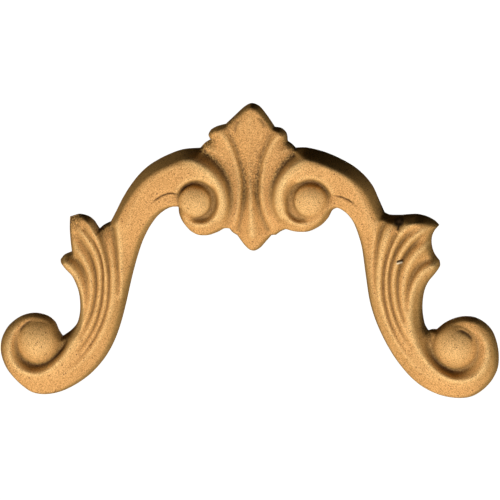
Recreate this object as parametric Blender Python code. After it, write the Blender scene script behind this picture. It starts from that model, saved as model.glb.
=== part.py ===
"""Furniture frieze onlay: one moulded piece of wood composite, a low arch of two S scrolls with
acanthus leaves and outer volutes, joined at the crown by a palmette. Its flat back is glued to a frieze.

Frame: metres, +Z up. The flat back lies in the plane y = 0 and faces +Y, and the carved front faces -Y.
The origin is on the back, behind the palmette, level with the two centre balls.
"""

import math

import bmesh
import bpy
import numpy as np
from mathutils import Vector
from mathutils.geometry import delaunay_2d_cdt
from mathutils.kdtree import KDTree

# Driving sizes in metres
LENGTH = 0.165  # over the two outer volutes
RELIEF = 0.012  # full depth of the carving, back to the crown of the highest boss
LAND = 0.0012  # square edge above the back, before the draft starts
DRAFT = math.radians(12.5)  # lean of the side walls, so that the piece leaves its mould
SHOULDER_ROUND = 0.0008  # softness of the edge between wall and front
LINE_SOFTNESS = 0.00032  # softness of ridges and grooves
CROWN = 20.0  # how far the skin swells between its lines, per metre

# The drawing: a sheet measured in units from its top left corner, x to the right and y down. It shows
# the onlay from a little above and from the right, so a raised point is drawn lower and further left.
DRAWN_LENGTH = 500.5  # the length in these units, as seen square on
CENTRE = (252.0, 203.0)
SEEN_FROM_ABOVE = math.radians(13.0)
SEEN_FROM_RIGHT = math.radians(6.3)
SEEN_TURNED = math.radians(1.2)  # the drawing lies turned a little to the left on its sheet
UNIT = LENGTH / DRAWN_LENGTH

# The skin's working: it starts on a coarse grid, and each finer grid starts from the last one
COARSEST = 8  # cells of the coarsest grid, in fine cells
SKIN_MARGIN = 4  # cells left round the outline
STIFFNESS = 3.0  # how firmly the lines hold the skin
SWEEPS = 240
OVERSHOOT = 0.7  # share by which each step goes past its goal, which settles the skin sooner

# Mesh fineness
CELL = 0.0005  # grid on which the skin is worked out
EDGE_STEP = 0.0016  # spacing of points along the outline
LINE_STEP = 0.001  # spacing of points along ridges and grooves
FIELD_STEP = 0.0009  # spacing of points over the front
EDGE_SAG = 0.0001  # how far a straight side between two outline points may cut into a curve
WALL_RINGS = (0.35, 0.75, 1.15, 1.6)  # rings of points near the edge, as shares of the usual wall's run
USUAL_WALL = 0.7  # height of the usual wall, as a share of the relief
CLEAR_OF_EDGE = 0.3  # least distance of a point from the edge, as a share of the usual wall's run
CLEAR_OF_POINTS = 0.55  # least distance between points, as a share of their spacing
FACE_SHARE = 0.46  # share of the front's triangles that is kept

# Outline of the back, clockwise from the foot of the palmette. Each stretch is one smooth curve from
# corner to corner. The third number is the height of the front where it meets the side wall, as a
# share of the relief.
OUTLINE = [
    [(200.4, 147.5, 0.14), (205, 142.5, 0.13), (210.9, 138.8, 0.14)],
    [(210.9, 138.8, 0.18), (208.8, 134, 0.24), (211, 129.5, 0.28), (217, 126, 0.36),
     (226, 123.5, 0.38)],
    [(226, 123.5, 0.22), (235, 115, 0.22), (244.5, 106.3, 0.28), (251.7, 102.9, 0.35),
     (259.5, 105.8, 0.36), (267.2, 115, 0.33), (275, 126.5, 0.3)],
    [(275, 126.5, 0.36), (282, 128, 0.37), (286.8, 133, 0.31), (288, 140.8, 0.22)],
    [(288, 140.8, 0.2), (292, 143.5, 0.24), (295.8, 147.4, 0.24)],
    [(295.8, 147.4, 0.28), (306, 147.2, 0.58), (321.7, 150.7, 0.67), (337.7, 157, 0.67),
     (353.6, 165.8, 0.67), (364.8, 175.4, 0.66), (373, 186, 0.65), (378.5, 198, 0.62),
     (384.7, 212, 0.58)],
    [(384.7, 212, 0.6), (389.5, 214.3, 0.6), (400, 214.6, 0.6), (417, 213.7, 0.58),
     (427, 216, 0.5), (435, 220.3, 0.36), (439.3, 224.6, 0.24)],
    [(439.3, 224.6, 0.24), (434.8, 230, 0.3), (432, 237, 0.34), (432, 245, 0.34),
     (434.5, 253, 0.32), (439.8, 260.5, 0.3)],
    [(439.8, 260.5, 0.36), (440.2, 265.5, 0.38), (435.8, 272.3, 0.38), (429, 280.6, 0.34),
     (425, 289, 0.3), (422.9, 300, 0.28), (422.8, 312, 0.27), (425, 324, 0.24), (428.4, 330, 0.18)],
    [(428.4, 330, 0.16), (432.5, 328.8, 0.13), (436.8, 328.9, 0.2)],
    [(436.8, 328.9, 0.26), (445, 322.4, 0.36), (455, 317.8, 0.38), (465.5, 315.9, 0.38),
     (476, 317.4, 0.36), (485.4, 322.8, 0.33), (492.3, 330.5, 0.3), (496.6, 341, 0.28),
     (498.8, 354, 0.3), (497.8, 368, 0.36), (492, 379.8, 0.46), (482, 390, 0.55), (471, 395.9, 0.6),
     (458, 397.2, 0.61), (441.2, 394.2, 0.59), (424, 386.3, 0.57), (410.4, 375.5, 0.55),
     (397, 359.4, 0.53), (386.3, 342, 0.49), (376.9, 321.9, 0.45), (370.2, 300.5, 0.43),
     (366.2, 275, 0.43), (362.3, 247, 0.48), (358.1, 232.1, 0.55), (353.2, 220.5, 0.6),
     (346, 211.6, 0.63), (338.5, 207, 0.64), (333, 209.2, 0.66), (329, 216.5, 0.68),
     (321.5, 224.4, 0.66), (309, 230.6, 0.66), (297, 230.8, 0.64), (286.2, 228.3, 0.5)],
    [(286.2, 228.3, 0.4), (281, 230.6, 0.38), (276.4, 234, 0.36)],
    [(276.4, 234, 0.36), (272, 234.3, 0.36)],
    [(272, 234.3, 0.36), (266.6, 240.3, 0.4), (260.8, 246.7, 0.42), (255, 249.8, 0.42),
     (250, 248.8, 0.42), (244.6, 243.8, 0.4), (237.6, 234.3, 0.36)],
    [(237.6, 234.3, 0.36), (232.8, 231.3, 0.36), (229.7, 227.6, 0.4)],
    [(229.7, 227.6, 0.5), (224.8, 227.6, 0.62), (218, 231.2, 0.66), (208.5, 234.3, 0.67),
     (199.5, 234, 0.67), (190.3, 229.3, 0.67), (183, 220.8, 0.67), (179.6, 213, 0.67),
     (178.8, 205.8, 0.64)],
    [(178.8, 205.8, 0.64), (172, 206.2, 0.64), (165.3, 209.2, 0.64), (157.8, 215.4, 0.63),
     (149.9, 226.4, 0.58), (143.5, 239.2, 0.52), (139.3, 250.9, 0.46), (135.3, 264.5, 0.43),
     (131.3, 280.4, 0.43), (125.9, 304.5, 0.46), (120.5, 324.6, 0.5), (113.9, 342, 0.54),
     (104.5, 358, 0.56), (91.1, 372.8, 0.58), (76, 383.6, 0.6), (60.3, 390.9, 0.62),
     (44.5, 393.4, 0.64), (31.5, 390.5, 0.66), (17.5, 380, 0.68), (6.7, 366.8, 0.68),
     (1.3, 351.5, 0.52), (2.1, 338, 0.38), (8, 326.3, 0.26), (17, 318.2, 0.2), (26.5, 313.8, 0.2),
     (37, 312.6, 0.24), (48, 315.4, 0.26), (55.5, 321.5, 0.28), (59.2, 329.5, 0.28),
     (63, 335.5, 0.27)],
    [(63, 335.5, 0.3), (71, 330, 0.42), (77, 323.2, 0.5), (79.9, 313.8, 0.54), (80.5, 303, 0.56),
     (79.2, 291.5, 0.57), (76.3, 283, 0.57), (72.2, 275, 0.56), (65.6, 268, 0.54),
     (61.4, 262.3, 0.5), (60.9, 258.7, 0.46)],
    [(60.9, 258.7, 0.42), (64.5, 254.4, 0.34), (72.3, 250.9, 0.3)],
    [(72.3, 250.9, 0.32), (71, 240.2, 0.3), (70.1, 228, 0.24), (70.3, 216.2, 0.13)],
    [(70.3, 216.2, 0.1), (79.5, 213.6, 0.12), (86.5, 214.9, 0.34), (91, 217, 0.5),
     (94.8, 220.5, 0.58), (99.8, 228.1, 0.5)],
    [(99.8, 228.1, 0.3), (104.5, 224.2, 0.12), (111, 221, 0.3)],
    [(111, 221, 0.46), (116.4, 210.5, 0.62), (122.8, 197.7, 0.66), (130.7, 185, 0.66),
     (140.3, 173, 0.67), (151.5, 163.4, 0.67), (167.4, 154.7, 0.67), (183.4, 149, 0.62),
     (200.4, 147.5, 0.22)],
]

# Ridges and grooves that the front's skin is stretched over: x, y and the height as a share of the
# relief. Between them the skin runs as straight and even as it can.
ARM_LINES = {
    "left arm crest": [(196, 168.5, 0.85), (185, 167, 0.85), (173, 168, 0.85), (159, 174, 0.84),
                       (147, 184, 0.83), (137.5, 198, 0.82), (131, 212, 0.8), (127, 228, 0.77)],
    "left shoulder": [(183, 160.5, 0.8), (193, 162, 0.81), (202.5, 166, 0.82), (210.5, 171.5, 0.82),
                      (217, 178.8, 0.82), (221.8, 187, 0.82), (224.4, 196, 0.82),
                      (225, 205, 0.81), (223, 214, 0.8), (218, 222, 0.77)],
    "left arm lower edge": [(176, 203, 0.76), (166, 205, 0.77), (157, 211.5, 0.77),
                            (149, 222, 0.74), (142, 236, 0.67)],
    "left band edge": [(116.5, 222.5, 0.73), (118.3, 240, 0.71), (119.8, 258, 0.69),
                       (120.8, 280, 0.68), (120.4, 298, 0.69)],
    "right arm crest": [(302, 168.5, 0.86), (313, 166.5, 0.86), (326, 168, 0.86), (341, 174.5, 0.85),
                        (353, 185, 0.84), (361.5, 199, 0.82), (367.5, 213, 0.8), (371, 228, 0.77)],
    "right shoulder": [(318, 160.5, 0.81), (309, 160.8, 0.82), (300, 163, 0.82), (292, 167.3, 0.82),
                       (285.3, 173.3, 0.82), (280, 181, 0.82), (276.8, 190, 0.82),
                       (275.8, 199, 0.81), (277.3, 209, 0.8), (281, 218, 0.77)],
    "right arm lower edge": [(339, 203.5, 0.77), (345, 208, 0.77), (351, 218, 0.75),
                             (356.5, 231, 0.69)],
    "right band edge": [(376.5, 222, 0.75), (375, 238, 0.72), (373, 256, 0.7), (372.5, 276, 0.69),
                        (374, 296, 0.7)],
}
CENTRE_VOLUTE_LINES = {
    "left rim": [(196, 168.5, 0.85), (205, 172.5, 0.86), (212.5, 179.5, 0.86), (218, 189, 0.86),
                 (220.5, 200, 0.86), (218.5, 211.5, 0.85), (212, 220.5, 0.84),
                 (202, 225, 0.84), (191, 223, 0.83), (184, 215, 0.82)],
    "left groove edge": [(176.5, 193, 0.83), (181, 186, 0.83), (187.5, 181, 0.84),
                         (196, 179, 0.84), (204.5, 180.8, 0.83), (211, 185.5, 0.81)],
    "left spiral groove": [(179.5, 194, 0.62), (185, 187, 0.5), (194, 182.3, 0.42),
                           (204, 184, 0.44), (212, 190.5, 0.52), (215.3, 200.5, 0.56),
                           (213.5, 211, 0.57), (205.5, 218.5, 0.57), (197, 219.3, 0.62),
                           (190, 217.5, 0.78)],
    "left rim edge": [(220, 206, 0.84), (216.5, 215.5, 0.84), (210, 221.6, 0.83),
                      (203, 223.8, 0.82), (196, 222.8, 0.82)],
    "right rim": [(302, 168.5, 0.86), (293.5, 173, 0.86), (286.3, 180, 0.86), (281.8, 189, 0.86),
                  (280.5, 200, 0.86), (283, 211, 0.85), (290, 219.5, 0.84), (301, 224, 0.84),
                  (313, 222.5, 0.83), (323, 216, 0.82), (328.5, 208, 0.8)],
    "right groove edge": [(332.5, 194, 0.83), (328, 187, 0.83), (321.5, 181, 0.84),
                          (313, 178, 0.84), (304.5, 178.8, 0.83), (297.5, 182.3, 0.81)],
    "right spiral groove": [(329.5, 195, 0.62), (324.5, 187.5, 0.5), (315.5, 181.8, 0.42),
                            (305.5, 182.3, 0.43), (296, 187, 0.47), (289.8, 195, 0.53),
                            (287.2, 205, 0.55), (289.3, 213.5, 0.55), (296.3, 219.3, 0.56),
                            (303, 219.8, 0.63), (309, 218, 0.79)],
    "right rim edge": [(283.5, 203, 0.84), (285.5, 213, 0.84), (290.5, 219.5, 0.83),
                       (297, 223, 0.82), (304, 222.8, 0.82)],
}
PALMETTE_LINES = {
    "top border": [(231, 132, 0.35), (233.5, 123.5, 0.31), (240, 116, 0.35),
                   (250, 111.5, 0.41), (259.5, 114.5, 0.41), (266, 121.5, 0.38),
                   (269.5, 132, 0.37)],
    "field left": [(240.5, 122, 0.42), (239.5, 132, 0.42), (240.5, 144, 0.39),
                   (243, 156, 0.34), (246, 168, 0.29)],
    "field right": [(260, 122, 0.43), (261, 132, 0.42), (260, 144, 0.39), (257.5, 156, 0.34),
                    (255, 168, 0.29)],
    "middle": [(249.5, 118, 0.46), (249.5, 130, 0.46), (249.5, 143, 0.43), (249.5, 156, 0.37),
               (250, 168, 0.32), (250, 178, 0.31), (250.2, 188, 0.36), (250.4, 197, 0.46),
               (250.8, 207, 0.55), (251.2, 218, 0.62), (251.5, 228, 0.64), (252, 237, 0.6)],
    "left valley": [(227.5, 128, 0.3), (231.5, 138, 0.3), (235.5, 148, 0.28), (239, 158, 0.25),
                    (242, 170, 0.21), (244, 183, 0.19), (244, 196, 0.24), (242.2, 209, 0.35),
                    (240, 220.5, 0.38), (239, 230, 0.34)],
    "right valley": [(272.5, 131.5, 0.3), (268.8, 140, 0.29), (264.8, 149.5, 0.27),
                     (261.5, 159, 0.24), (259.3, 170, 0.21), (257.3, 183, 0.19),
                     (257.3, 196, 0.24), (259.8, 209, 0.35), (263.8, 220.5, 0.38),
                     (268.5, 230, 0.34)],
    "left upper lobe": [(213, 134, 0.34), (219, 133.8, 0.41), (224.5, 137, 0.44), (229, 144.5, 0.44),
                        (232.8, 153, 0.43), (236, 162, 0.41), (238.5, 172, 0.39),
                        (239.8, 183, 0.39), (239.2, 196, 0.45), (238.2, 208, 0.51),
                        (236.3, 219, 0.52), (233.5, 228, 0.47)],
    "right upper lobe": [(285.5, 136.5, 0.36), (280, 136, 0.42), (275.3, 139.3, 0.45),
                         (271, 145.5, 0.45), (267.3, 153.5, 0.43), (264.5, 162, 0.41),
                         (262.8, 172, 0.39), (261.3, 183, 0.39), (261.6, 196, 0.45),
                         (264.2, 209, 0.51), (268.3, 220.5, 0.52), (273.5, 229, 0.47)],
    "left lobe valley": [(211.5, 141, 0.2), (216, 143.5, 0.33), (222, 149.5, 0.41)],
    "right lobe valley": [(287, 142.5, 0.24), (282.5, 145.5, 0.34), (277.5, 151, 0.41)],
    "left lower lobe": [(203.5, 147, 0.18), (211, 149.3, 0.35), (219, 154.5, 0.4),
                        (226, 162.5, 0.4), (231.5, 172.5, 0.38), (234.8, 184, 0.38)],
    "right lower lobe": [(293.5, 148.5, 0.24), (287, 150, 0.36), (280, 155, 0.4),
                         (273.7, 163, 0.4), (268.8, 173, 0.38), (266.2, 184, 0.38)],
    "left hollow": [(203.5, 153, 0.22), (212, 158.8, 0.24), (219.8, 167, 0.25), (226, 177, 0.28),
                    (229.5, 188.5, 0.34), (231, 202, 0.43), (230, 213, 0.5), (228.5, 223, 0.52)],
    "right hollow": [(295.5, 153.5, 0.22), (288.3, 160, 0.24), (281.3, 168.3, 0.25),
                     (275.7, 178, 0.28), (272.3, 189, 0.34), (271, 202, 0.43),
                     (274, 213, 0.5), (280, 223, 0.52)],
}
LEFT_LEAF_LINES = {
    "inner flute": [(105, 227.5, 0.26), (106.8, 236, 0.37), (109, 246, 0.49), (110.8, 258, 0.6),
                    (112, 272, 0.7), (112, 291, 0.76), (109.5, 310, 0.79), (103.5, 328, 0.8),
                    (95, 345, 0.8), (83, 360, 0.8), (68, 371.5, 0.81), (52, 379, 0.81)],
    "inner flute edge": [(107.8, 228, 0.29), (111, 237.5, 0.39), (113.3, 247.5, 0.49),
                         (114.7, 259.5, 0.58), (115.6, 274, 0.67), (115.2, 292, 0.72),
                         (111, 315, 0.74), (104.5, 335, 0.73), (95, 352.5, 0.73)],
    "leaf crease": [(112, 226, 0.29), (114.9, 242, 0.37), (116.7, 258, 0.46), (117.8, 276, 0.54),
                    (117.9, 293, 0.62)],
    "inner groove": [(99.2, 233, 0.25), (101.5, 241, 0.33), (105, 252, 0.43), (108, 265, 0.53),
                     (109.3, 280, 0.61), (108, 303, 0.67), (102, 323, 0.68), (93.5, 340, 0.7),
                     (82, 355.5, 0.74), (75, 362.7, 0.765), (66, 369.3, 0.785)],
    "third flute": [(76, 217, 0.16), (82, 219, 0.32), (87.5, 222.3, 0.5),
                    (92.8, 229.5, 0.58), (97.5, 239, 0.62), (101.2, 250, 0.66),
                    (104.2, 264, 0.71), (105.6, 280, 0.75), (104.5, 304, 0.78),
                    (98.5, 325, 0.79), (90, 342.5, 0.795), (78, 357, 0.8), (64, 368, 0.81)],
    "third groove": [(84, 227, 0.34), (89.3, 235, 0.44), (93.3, 241, 0.47), (97, 247.5, 0.49),
                     (100.3, 256, 0.52), (102.7, 268, 0.56), (103, 284, 0.61), (101.3, 302, 0.65),
                     (97, 320, 0.67), (90, 335, 0.69), (79, 350.5, 0.73)],
    "second flute": [(77.5, 229.5, 0.37), (83.5, 235.2, 0.52), (89.5, 243.5, 0.61),
                     (95, 253, 0.66), (98.5, 263, 0.7), (100.3, 276, 0.735), (99.6, 293, 0.765),
                     (96.5, 309, 0.785), (91.3, 324, 0.79), (83, 339.5, 0.8),
                     (71.5, 353, 0.81), (57, 365.5, 0.82)],
    "second groove": [(76, 234, 0.3), (80.5, 239.8, 0.34), (85.2, 246, 0.39), (89.7, 253.5, 0.45),
                      (93.3, 263.5, 0.51), (95.8, 275, 0.56), (96.2, 290, 0.61), (93.5, 307, 0.65),
                      (88, 322.5, 0.69), (80, 336.5, 0.74)],
    "first flute": [(73.3, 242, 0.4), (77.5, 250.5, 0.53), (82.5, 257.5, 0.61), (86.5, 265, 0.67),
                    (89.8, 275, 0.715), (91.3, 289, 0.75), (89.3, 305, 0.77), (84.5, 321, 0.785),
                    (77.5, 335, 0.79)],
    "pocket": [(68.5, 255, 0.3), (74, 258, 0.34), (79, 262.5, 0.38), (83, 269, 0.45),
               (86, 277.5, 0.54), (87.3, 289, 0.62), (86.2, 304, 0.68), (83.5, 318, 0.73)],
    "outer lobe": [(63, 261, 0.6), (69.5, 266.5, 0.68), (75.5, 274.5, 0.72), (80, 286, 0.745),
                   (82.5, 301, 0.765), (81.5, 318, 0.78), (76.5, 333, 0.79)],
}
LEFT_VOLUTE_LINES = {
    "rim": [(76.5, 333, 0.79), (68, 349, 0.81), (57, 362, 0.83), (45, 371.5, 0.84), (33, 374, 0.84),
            (20, 369, 0.84), (11.5, 359, 0.81), (8.5, 346.5, 0.71), (11.5, 334.5, 0.54),
            (18, 326, 0.4), (25.5, 320.5, 0.32), (32.5, 318, 0.28)],
    "channel": [(67.5, 338.5, 0.37), (62.5, 348.5, 0.35), (54, 357, 0.36), (45, 362.5, 0.36),
                (34.5, 364, 0.36), (25, 360.5, 0.39), (18.5, 353.5, 0.44), (16.5, 344.5, 0.47),
                (18, 336, 0.43), (23, 329.5, 0.36), (30, 324, 0.31)],
}
RIGHT_LEAF_LINES = {
    "tip notch": [(399.3, 219.4, 0.35), (399, 222.9, 0.44), (398.7, 226.3, 0.54), (398.4, 229.7, 0.64)],
    "inner flute": [(392.5, 224, 0.64), (387.5, 236, 0.78), (383.7, 250, 0.8), (380.7, 267, 0.8),
                    (379.9, 285, 0.8), (381.2, 302, 0.8), (386, 320, 0.8), (393, 337, 0.8),
                    (403, 353, 0.8), (416, 367.5, 0.81), (432, 379, 0.81)],
    "inner flute edge": [(389.5, 224.5, 0.62), (384.5, 233, 0.73), (380.7, 243.5, 0.75),
                         (378, 258, 0.76), (376.5, 275, 0.77), (377.5, 293, 0.76),
                         (381.3, 311, 0.74), (387.5, 329, 0.73), (396, 346, 0.73),
                         (407, 361, 0.73)],
    "leaf crease": [(384.8, 221.5, 0.5), (380.8, 234, 0.54), (377.8, 247, 0.57),
                    (375.8, 262, 0.58), (374.6, 277, 0.61), (375.2, 293, 0.66)],
    "inner groove": [(397, 233, 0.58), (392, 243.5, 0.6), (387.3, 255.5, 0.63),
                     (384, 270, 0.64), (383, 287, 0.65), (384.8, 303, 0.66), (389.6, 321, 0.67),
                     (397.2, 338, 0.73), (408, 354, 0.76)],
    "third flute": [(424, 221, 0.58), (415.5, 222.8, 0.7), (406, 227.8, 0.76),
                    (398.6, 236, 0.795), (393.2, 246.5, 0.79), (389.2, 260, 0.785),
                    (386.8, 277, 0.785), (387.5, 297, 0.785), (392, 316, 0.79),
                    (400, 334, 0.795), (411.5, 351, 0.8), (427, 366.5, 0.81)],
    "third groove": [(416.5, 228.7, 0.62), (409.5, 233.5, 0.6), (404, 239, 0.55),
                     (399.3, 245.5, 0.56), (394.7, 254.5, 0.58), (391, 265.5, 0.61),
                     (389.3, 280, 0.63), (390.5, 299, 0.645), (395, 317, 0.66),
                     (402.5, 333.5, 0.72), (413, 349.5, 0.76)],
    "second flute": [(429, 227.5, 0.52), (420.5, 232.5, 0.7), (411.3, 239.8, 0.775),
                     (404.7, 247.5, 0.78), (399.7, 256, 0.78), (395.7, 267, 0.78),
                     (393.5, 281, 0.785), (394.6, 300, 0.79), (399.5, 318, 0.795),
                     (408, 336.5, 0.805), (420.5, 354, 0.82)],
    "second groove": [(422, 236.3, 0.54), (415, 243, 0.47), (409.5, 249.3, 0.49),
                      (404.7, 256.3, 0.52), (400.8, 264.5, 0.56), (398, 275.5, 0.61),
                      (397.3, 289, 0.65), (399.3, 305, 0.67), (404.5, 321, 0.7)],
    "first flute": [(428.5, 244.5, 0.56), (418.5, 251.5, 0.71), (411.5, 260, 0.75),
                    (407.3, 268.5, 0.765), (404, 279.5, 0.77), (403, 293, 0.775),
                    (404, 308, 0.78), (407, 322, 0.785)],
    "pocket": [(434.5, 258.5, 0.36), (427.5, 260.5, 0.4), (421, 264.5, 0.43), (415.5, 270.5, 0.47),
               (411.3, 279, 0.53), (408.5, 289, 0.6), (407.3, 300, 0.66), (407.8, 311, 0.71)],
    "outer lobe": [(437.5, 264.5, 0.6), (429, 267.8, 0.68), (421.5, 273, 0.72), (415.5, 282, 0.745),
                   (411.3, 294, 0.76), (409.8, 306, 0.77), (410, 318, 0.78), (412, 332, 0.79)],
    "leg slope": [(418, 300, 0.47), (416.8, 314, 0.45), (419, 328, 0.44)],
}
RIGHT_VOLUTE_LINES = {
    "notch": [(432.6, 330.8, 0.14), (432, 335, 0.2), (431.2, 339.5, 0.29), (430.8, 344, 0.38)],
    "rim": [(412, 332, 0.79), (417.5, 347, 0.81), (427, 361, 0.83), (439, 372.5, 0.84),
            (451, 379, 0.84), (464, 380.5, 0.83), (476.5, 376, 0.79), (484.5, 366, 0.71),
            (487.5, 353.5, 0.61), (485.5, 341.5, 0.53), (478.5, 332.5, 0.47), (468.5, 327.3, 0.42),
            (458.5, 326, 0.38)],
    "channel": [(425, 338, 0.42), (428.5, 348, 0.4), (434.5, 358.5, 0.38), (443.5, 366.8, 0.36),
                (454, 371, 0.36), (464.5, 369.7, 0.38), (473.5, 363.5, 0.41), (478, 354, 0.43),
                (477, 344.5, 0.41), (471, 336.3, 0.37), (463, 331.8, 0.33)],
}
LINE_GROUPS = [ARM_LINES, CENTRE_VOLUTE_LINES, PALMETTE_LINES, LEFT_LEAF_LINES, LEFT_VOLUTE_LINES,
               RIGHT_LEAF_LINES, RIGHT_VOLUTE_LINES]

# Round bosses: x and y of the crown, its height as a share of the relief, the radius in plan, the depth
# from the crown to the foot, also as a share of the relief, how softly the side runs out (0.5 makes a
# half ball and 2 a gentle swell), and the fillet at the foot in metres
BOSSES = [
    (193, 204.5, 0.997, 16.5, 0.42, 0.5, 0.0008),
    (309.5, 204, 0.997, 17.0, 0.42, 0.5, 0.0008),
    (36, 347, 0.88, 22.0, 0.48, 0.9, 0.001),
    (453.5, 351, 0.88, 22.5, 0.48, 0.9, 0.001),
]


def plan(points):
    """Points of the drawing, x, y and height share, as x, z and height in metres."""
    points = np.asarray(points, dtype=float)
    height = points[:, 2] * RELIEF
    drawn_across = (points[:, 0] - CENTRE[0]) * UNIT
    drawn_up = (CENTRE[1] - points[:, 1]) * UNIT
    across = drawn_across * math.cos(SEEN_TURNED) + drawn_up * math.sin(SEEN_TURNED)
    up = drawn_up * math.cos(SEEN_TURNED) - drawn_across * math.sin(SEEN_TURNED)
    across = (across + height * math.sin(SEEN_FROM_RIGHT)) / math.cos(SEEN_FROM_RIGHT)
    nearness = height * math.cos(SEEN_FROM_RIGHT) + across * math.sin(SEEN_FROM_RIGHT)
    up = (up + nearness * math.sin(SEEN_FROM_ABOVE)) / math.cos(SEEN_FROM_ABOVE)
    return np.column_stack([across, up, height])


def curve(points, step):
    """A smooth curve through the points, sampled about every step metres."""
    points = np.asarray(points, dtype=float)
    first = 2 * points[0] - points[1]
    last = 2 * points[-1] - points[-2]
    knots = np.vstack([first, points, last])
    samples = []
    for a, b, c, d in zip(knots, knots[1:], knots[2:], knots[3:]):
        span = np.linalg.norm((c - b)[:2])
        count = max(1, round(span / step))
        lead = min(1.0, span / max(np.linalg.norm((b - a)[:2]), 1e-9))
        tail = min(1.0, span / max(np.linalg.norm((d - c)[:2]), 1e-9))
        leave = (c - b + (b - a) * lead) / 2
        arrive = (c - b + (d - c) * tail) / 2
        for t in np.arange(count) / count:
            samples.append(
                (2 * t**3 - 3 * t**2 + 1) * b
                + (t**3 - 2 * t**2 + t) * leave
                + (3 * t**2 - 2 * t**3) * c
                + (t**3 - t**2) * arrive
            )
    samples.append(points[-1])
    return np.array(samples)


def outline(step):
    """The back's outline as one loop: x, z and shoulder height, not shifted as it lies on the back."""
    loop = []
    for stretch in OUTLINE:
        flat = plan([(x, y, 0.0) for x, y, _ in stretch])
        flat[:, 2] = [share * RELIEF for _, _, share in stretch]
        loop.extend(curve(flat, step)[:-1])
    return np.array(loop)


def edge_distance(points, loop):
    """Distance of each point to the outline, negative outside."""
    starts = loop[:, :2]
    runs = np.roll(starts, -1, axis=0) - starts
    lengths = (runs**2).sum(axis=1)
    distance = np.full(len(points), np.inf)
    inside = np.zeros(len(points), dtype=bool)
    x, z = points[:, 0], points[:, 1]
    for start, run, length in zip(starts, runs, lengths):
        t = np.clip(((x - start[0]) * run[0] + (z - start[1]) * run[1]) / length, 0.0, 1.0)
        gap = (x - start[0] - t * run[0]) ** 2 + (z - start[1] - t * run[1]) ** 2
        np.minimum(distance, gap, out=distance)
        crosses = (start[1] > z) != (start[1] + run[1] > z)
        if run[1] != 0.0:
            reach = start[0] + run[0] * (z - start[1]) / run[1]
            inside ^= crosses & (x < reach)
    return np.where(inside, 1.0, -1.0) * np.sqrt(distance)


def blur(field, cells):
    """The field softened by a bell of the given width in cells."""
    reach = max(1, math.ceil(3 * cells))
    bell = np.exp(-0.5 * (np.arange(-reach, reach + 1) / cells) ** 2)
    bell /= bell.sum()
    for axis in (0, 1):
        padded = np.pad(field, [(reach, reach) if a == axis else (0, 0) for a in (0, 1)], mode="edge")
        field = sum(
            weight * np.take(padded, range(k, k + field.shape[axis]), axis=axis)
            for k, weight in enumerate(bell)
        )
    return field


class Skin:
    """The front's surface: a skin over the ridges, grooves and the outline's shoulder."""

    def __init__(self, cell):
        loop = outline(cell / 2)
        lines = [curve(plan(line), cell / 2) for group in LINE_GROUPS for line in group.values()]
        held = np.vstack([loop] + lines)
        margin = SKIN_MARGIN * cell
        self.cell = cell
        self.low = loop[:, :2].min(axis=0) - margin
        span = loop[:, :2].max(axis=0) + margin - self.low
        field = None
        level = COARSEST
        while level >= 1:
            size = cell * level
            shape = tuple(int(n) for n in np.ceil(span / size) + 2)
            field = self.stretch(held, size, shape, field)
            level //= 2
        self.field = blur(field, LINE_SOFTNESS / cell)

    def stretch(self, held, size, shape, coarse):
        """Relaxes the skin on a grid, starting from the coarser grid's result."""
        pull = np.zeros(shape)
        goal = np.zeros(shape)
        place = (held[:, :2] - self.low) / size
        corner = np.floor(place).astype(int)
        part = place - corner
        for i in (0, 1):
            for j in (0, 1):
                weight = np.abs(1 - i - part[:, 0]) * np.abs(1 - j - part[:, 1])
                np.add.at(pull, (corner[:, 0] + i, corner[:, 1] + j), weight)
                np.add.at(goal, (corner[:, 0] + i, corner[:, 1] + j), weight * held[:, 2])
        if coarse is None:
            field = np.full(shape, held[:, 2].mean())
        else:
            rows = np.minimum(np.arange(shape[0]) / 2, coarse.shape[0] - 1.001)
            columns = np.minimum(np.arange(shape[1]) / 2, coarse.shape[1] - 1.001)
            field = between(coarse, rows[:, None], columns[None, :])
        swell = CROWN * size**2
        parity = np.add.outer(np.arange(shape[0]), np.arange(shape[1])) % 2
        weight = 4 + STIFFNESS * pull
        for _ in range(SWEEPS):
            for colour in (0, 1):
                padded = np.pad(field, 1, mode="edge")
                around = padded[:-2, 1:-1] + padded[2:, 1:-1] + padded[1:-1, :-2] + padded[1:-1, 2:]
                target = (around + swell + STIFFNESS * goal) / weight
                field = np.where(parity == colour, field + (1 + OVERSHOOT) * (target - field), field)
        return field

    def __call__(self, points):
        place = (points - self.low) / self.cell
        return between(self.field, place[:, 0], place[:, 1])


def between(field, rows, columns):
    """Values of a grid at places between its points."""
    rows, columns = np.broadcast_arrays(rows, columns)
    i = np.clip(np.floor(rows).astype(int), 0, field.shape[0] - 2)
    j = np.clip(np.floor(columns).astype(int), 0, field.shape[1] - 2)
    u = rows - i
    v = columns - j
    lower = field[i, j] * (1 - u) + field[i + 1, j] * u
    upper = field[i, j + 1] * (1 - u) + field[i + 1, j + 1] * u
    return lower * (1 - v) + upper * v


def soft_min(a, b, softness):
    """The lower of two surfaces, with the edge between them rounded."""
    return (a + b - np.sqrt((a - b) ** 2 + softness**2)) / 2


def soft_max(a, b, softness):
    """The higher of two surfaces, with the corner between them filled."""
    return -soft_min(-a, -b, softness)


def carved(points, skin):
    """Height of the carving at each point of the plan, before the side walls cut it off."""
    surface = skin(points)
    for x, y, share, radius, depth_share, run_out, fillet in BOSSES:
        across, up, crown = plan([(x, y, share)])[0]
        reach = np.hypot(points[:, 0] - across, points[:, 1] - up) / (radius * UNIT)
        fall = 1 - np.clip(1 - reach**2, 0.0, None) ** run_out
        fall += np.clip(reach - 1, 0.0, None)
        dome = crown - depth_share * RELIEF * fall
        surface = soft_max(surface, dome, fillet)
    return surface


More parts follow.
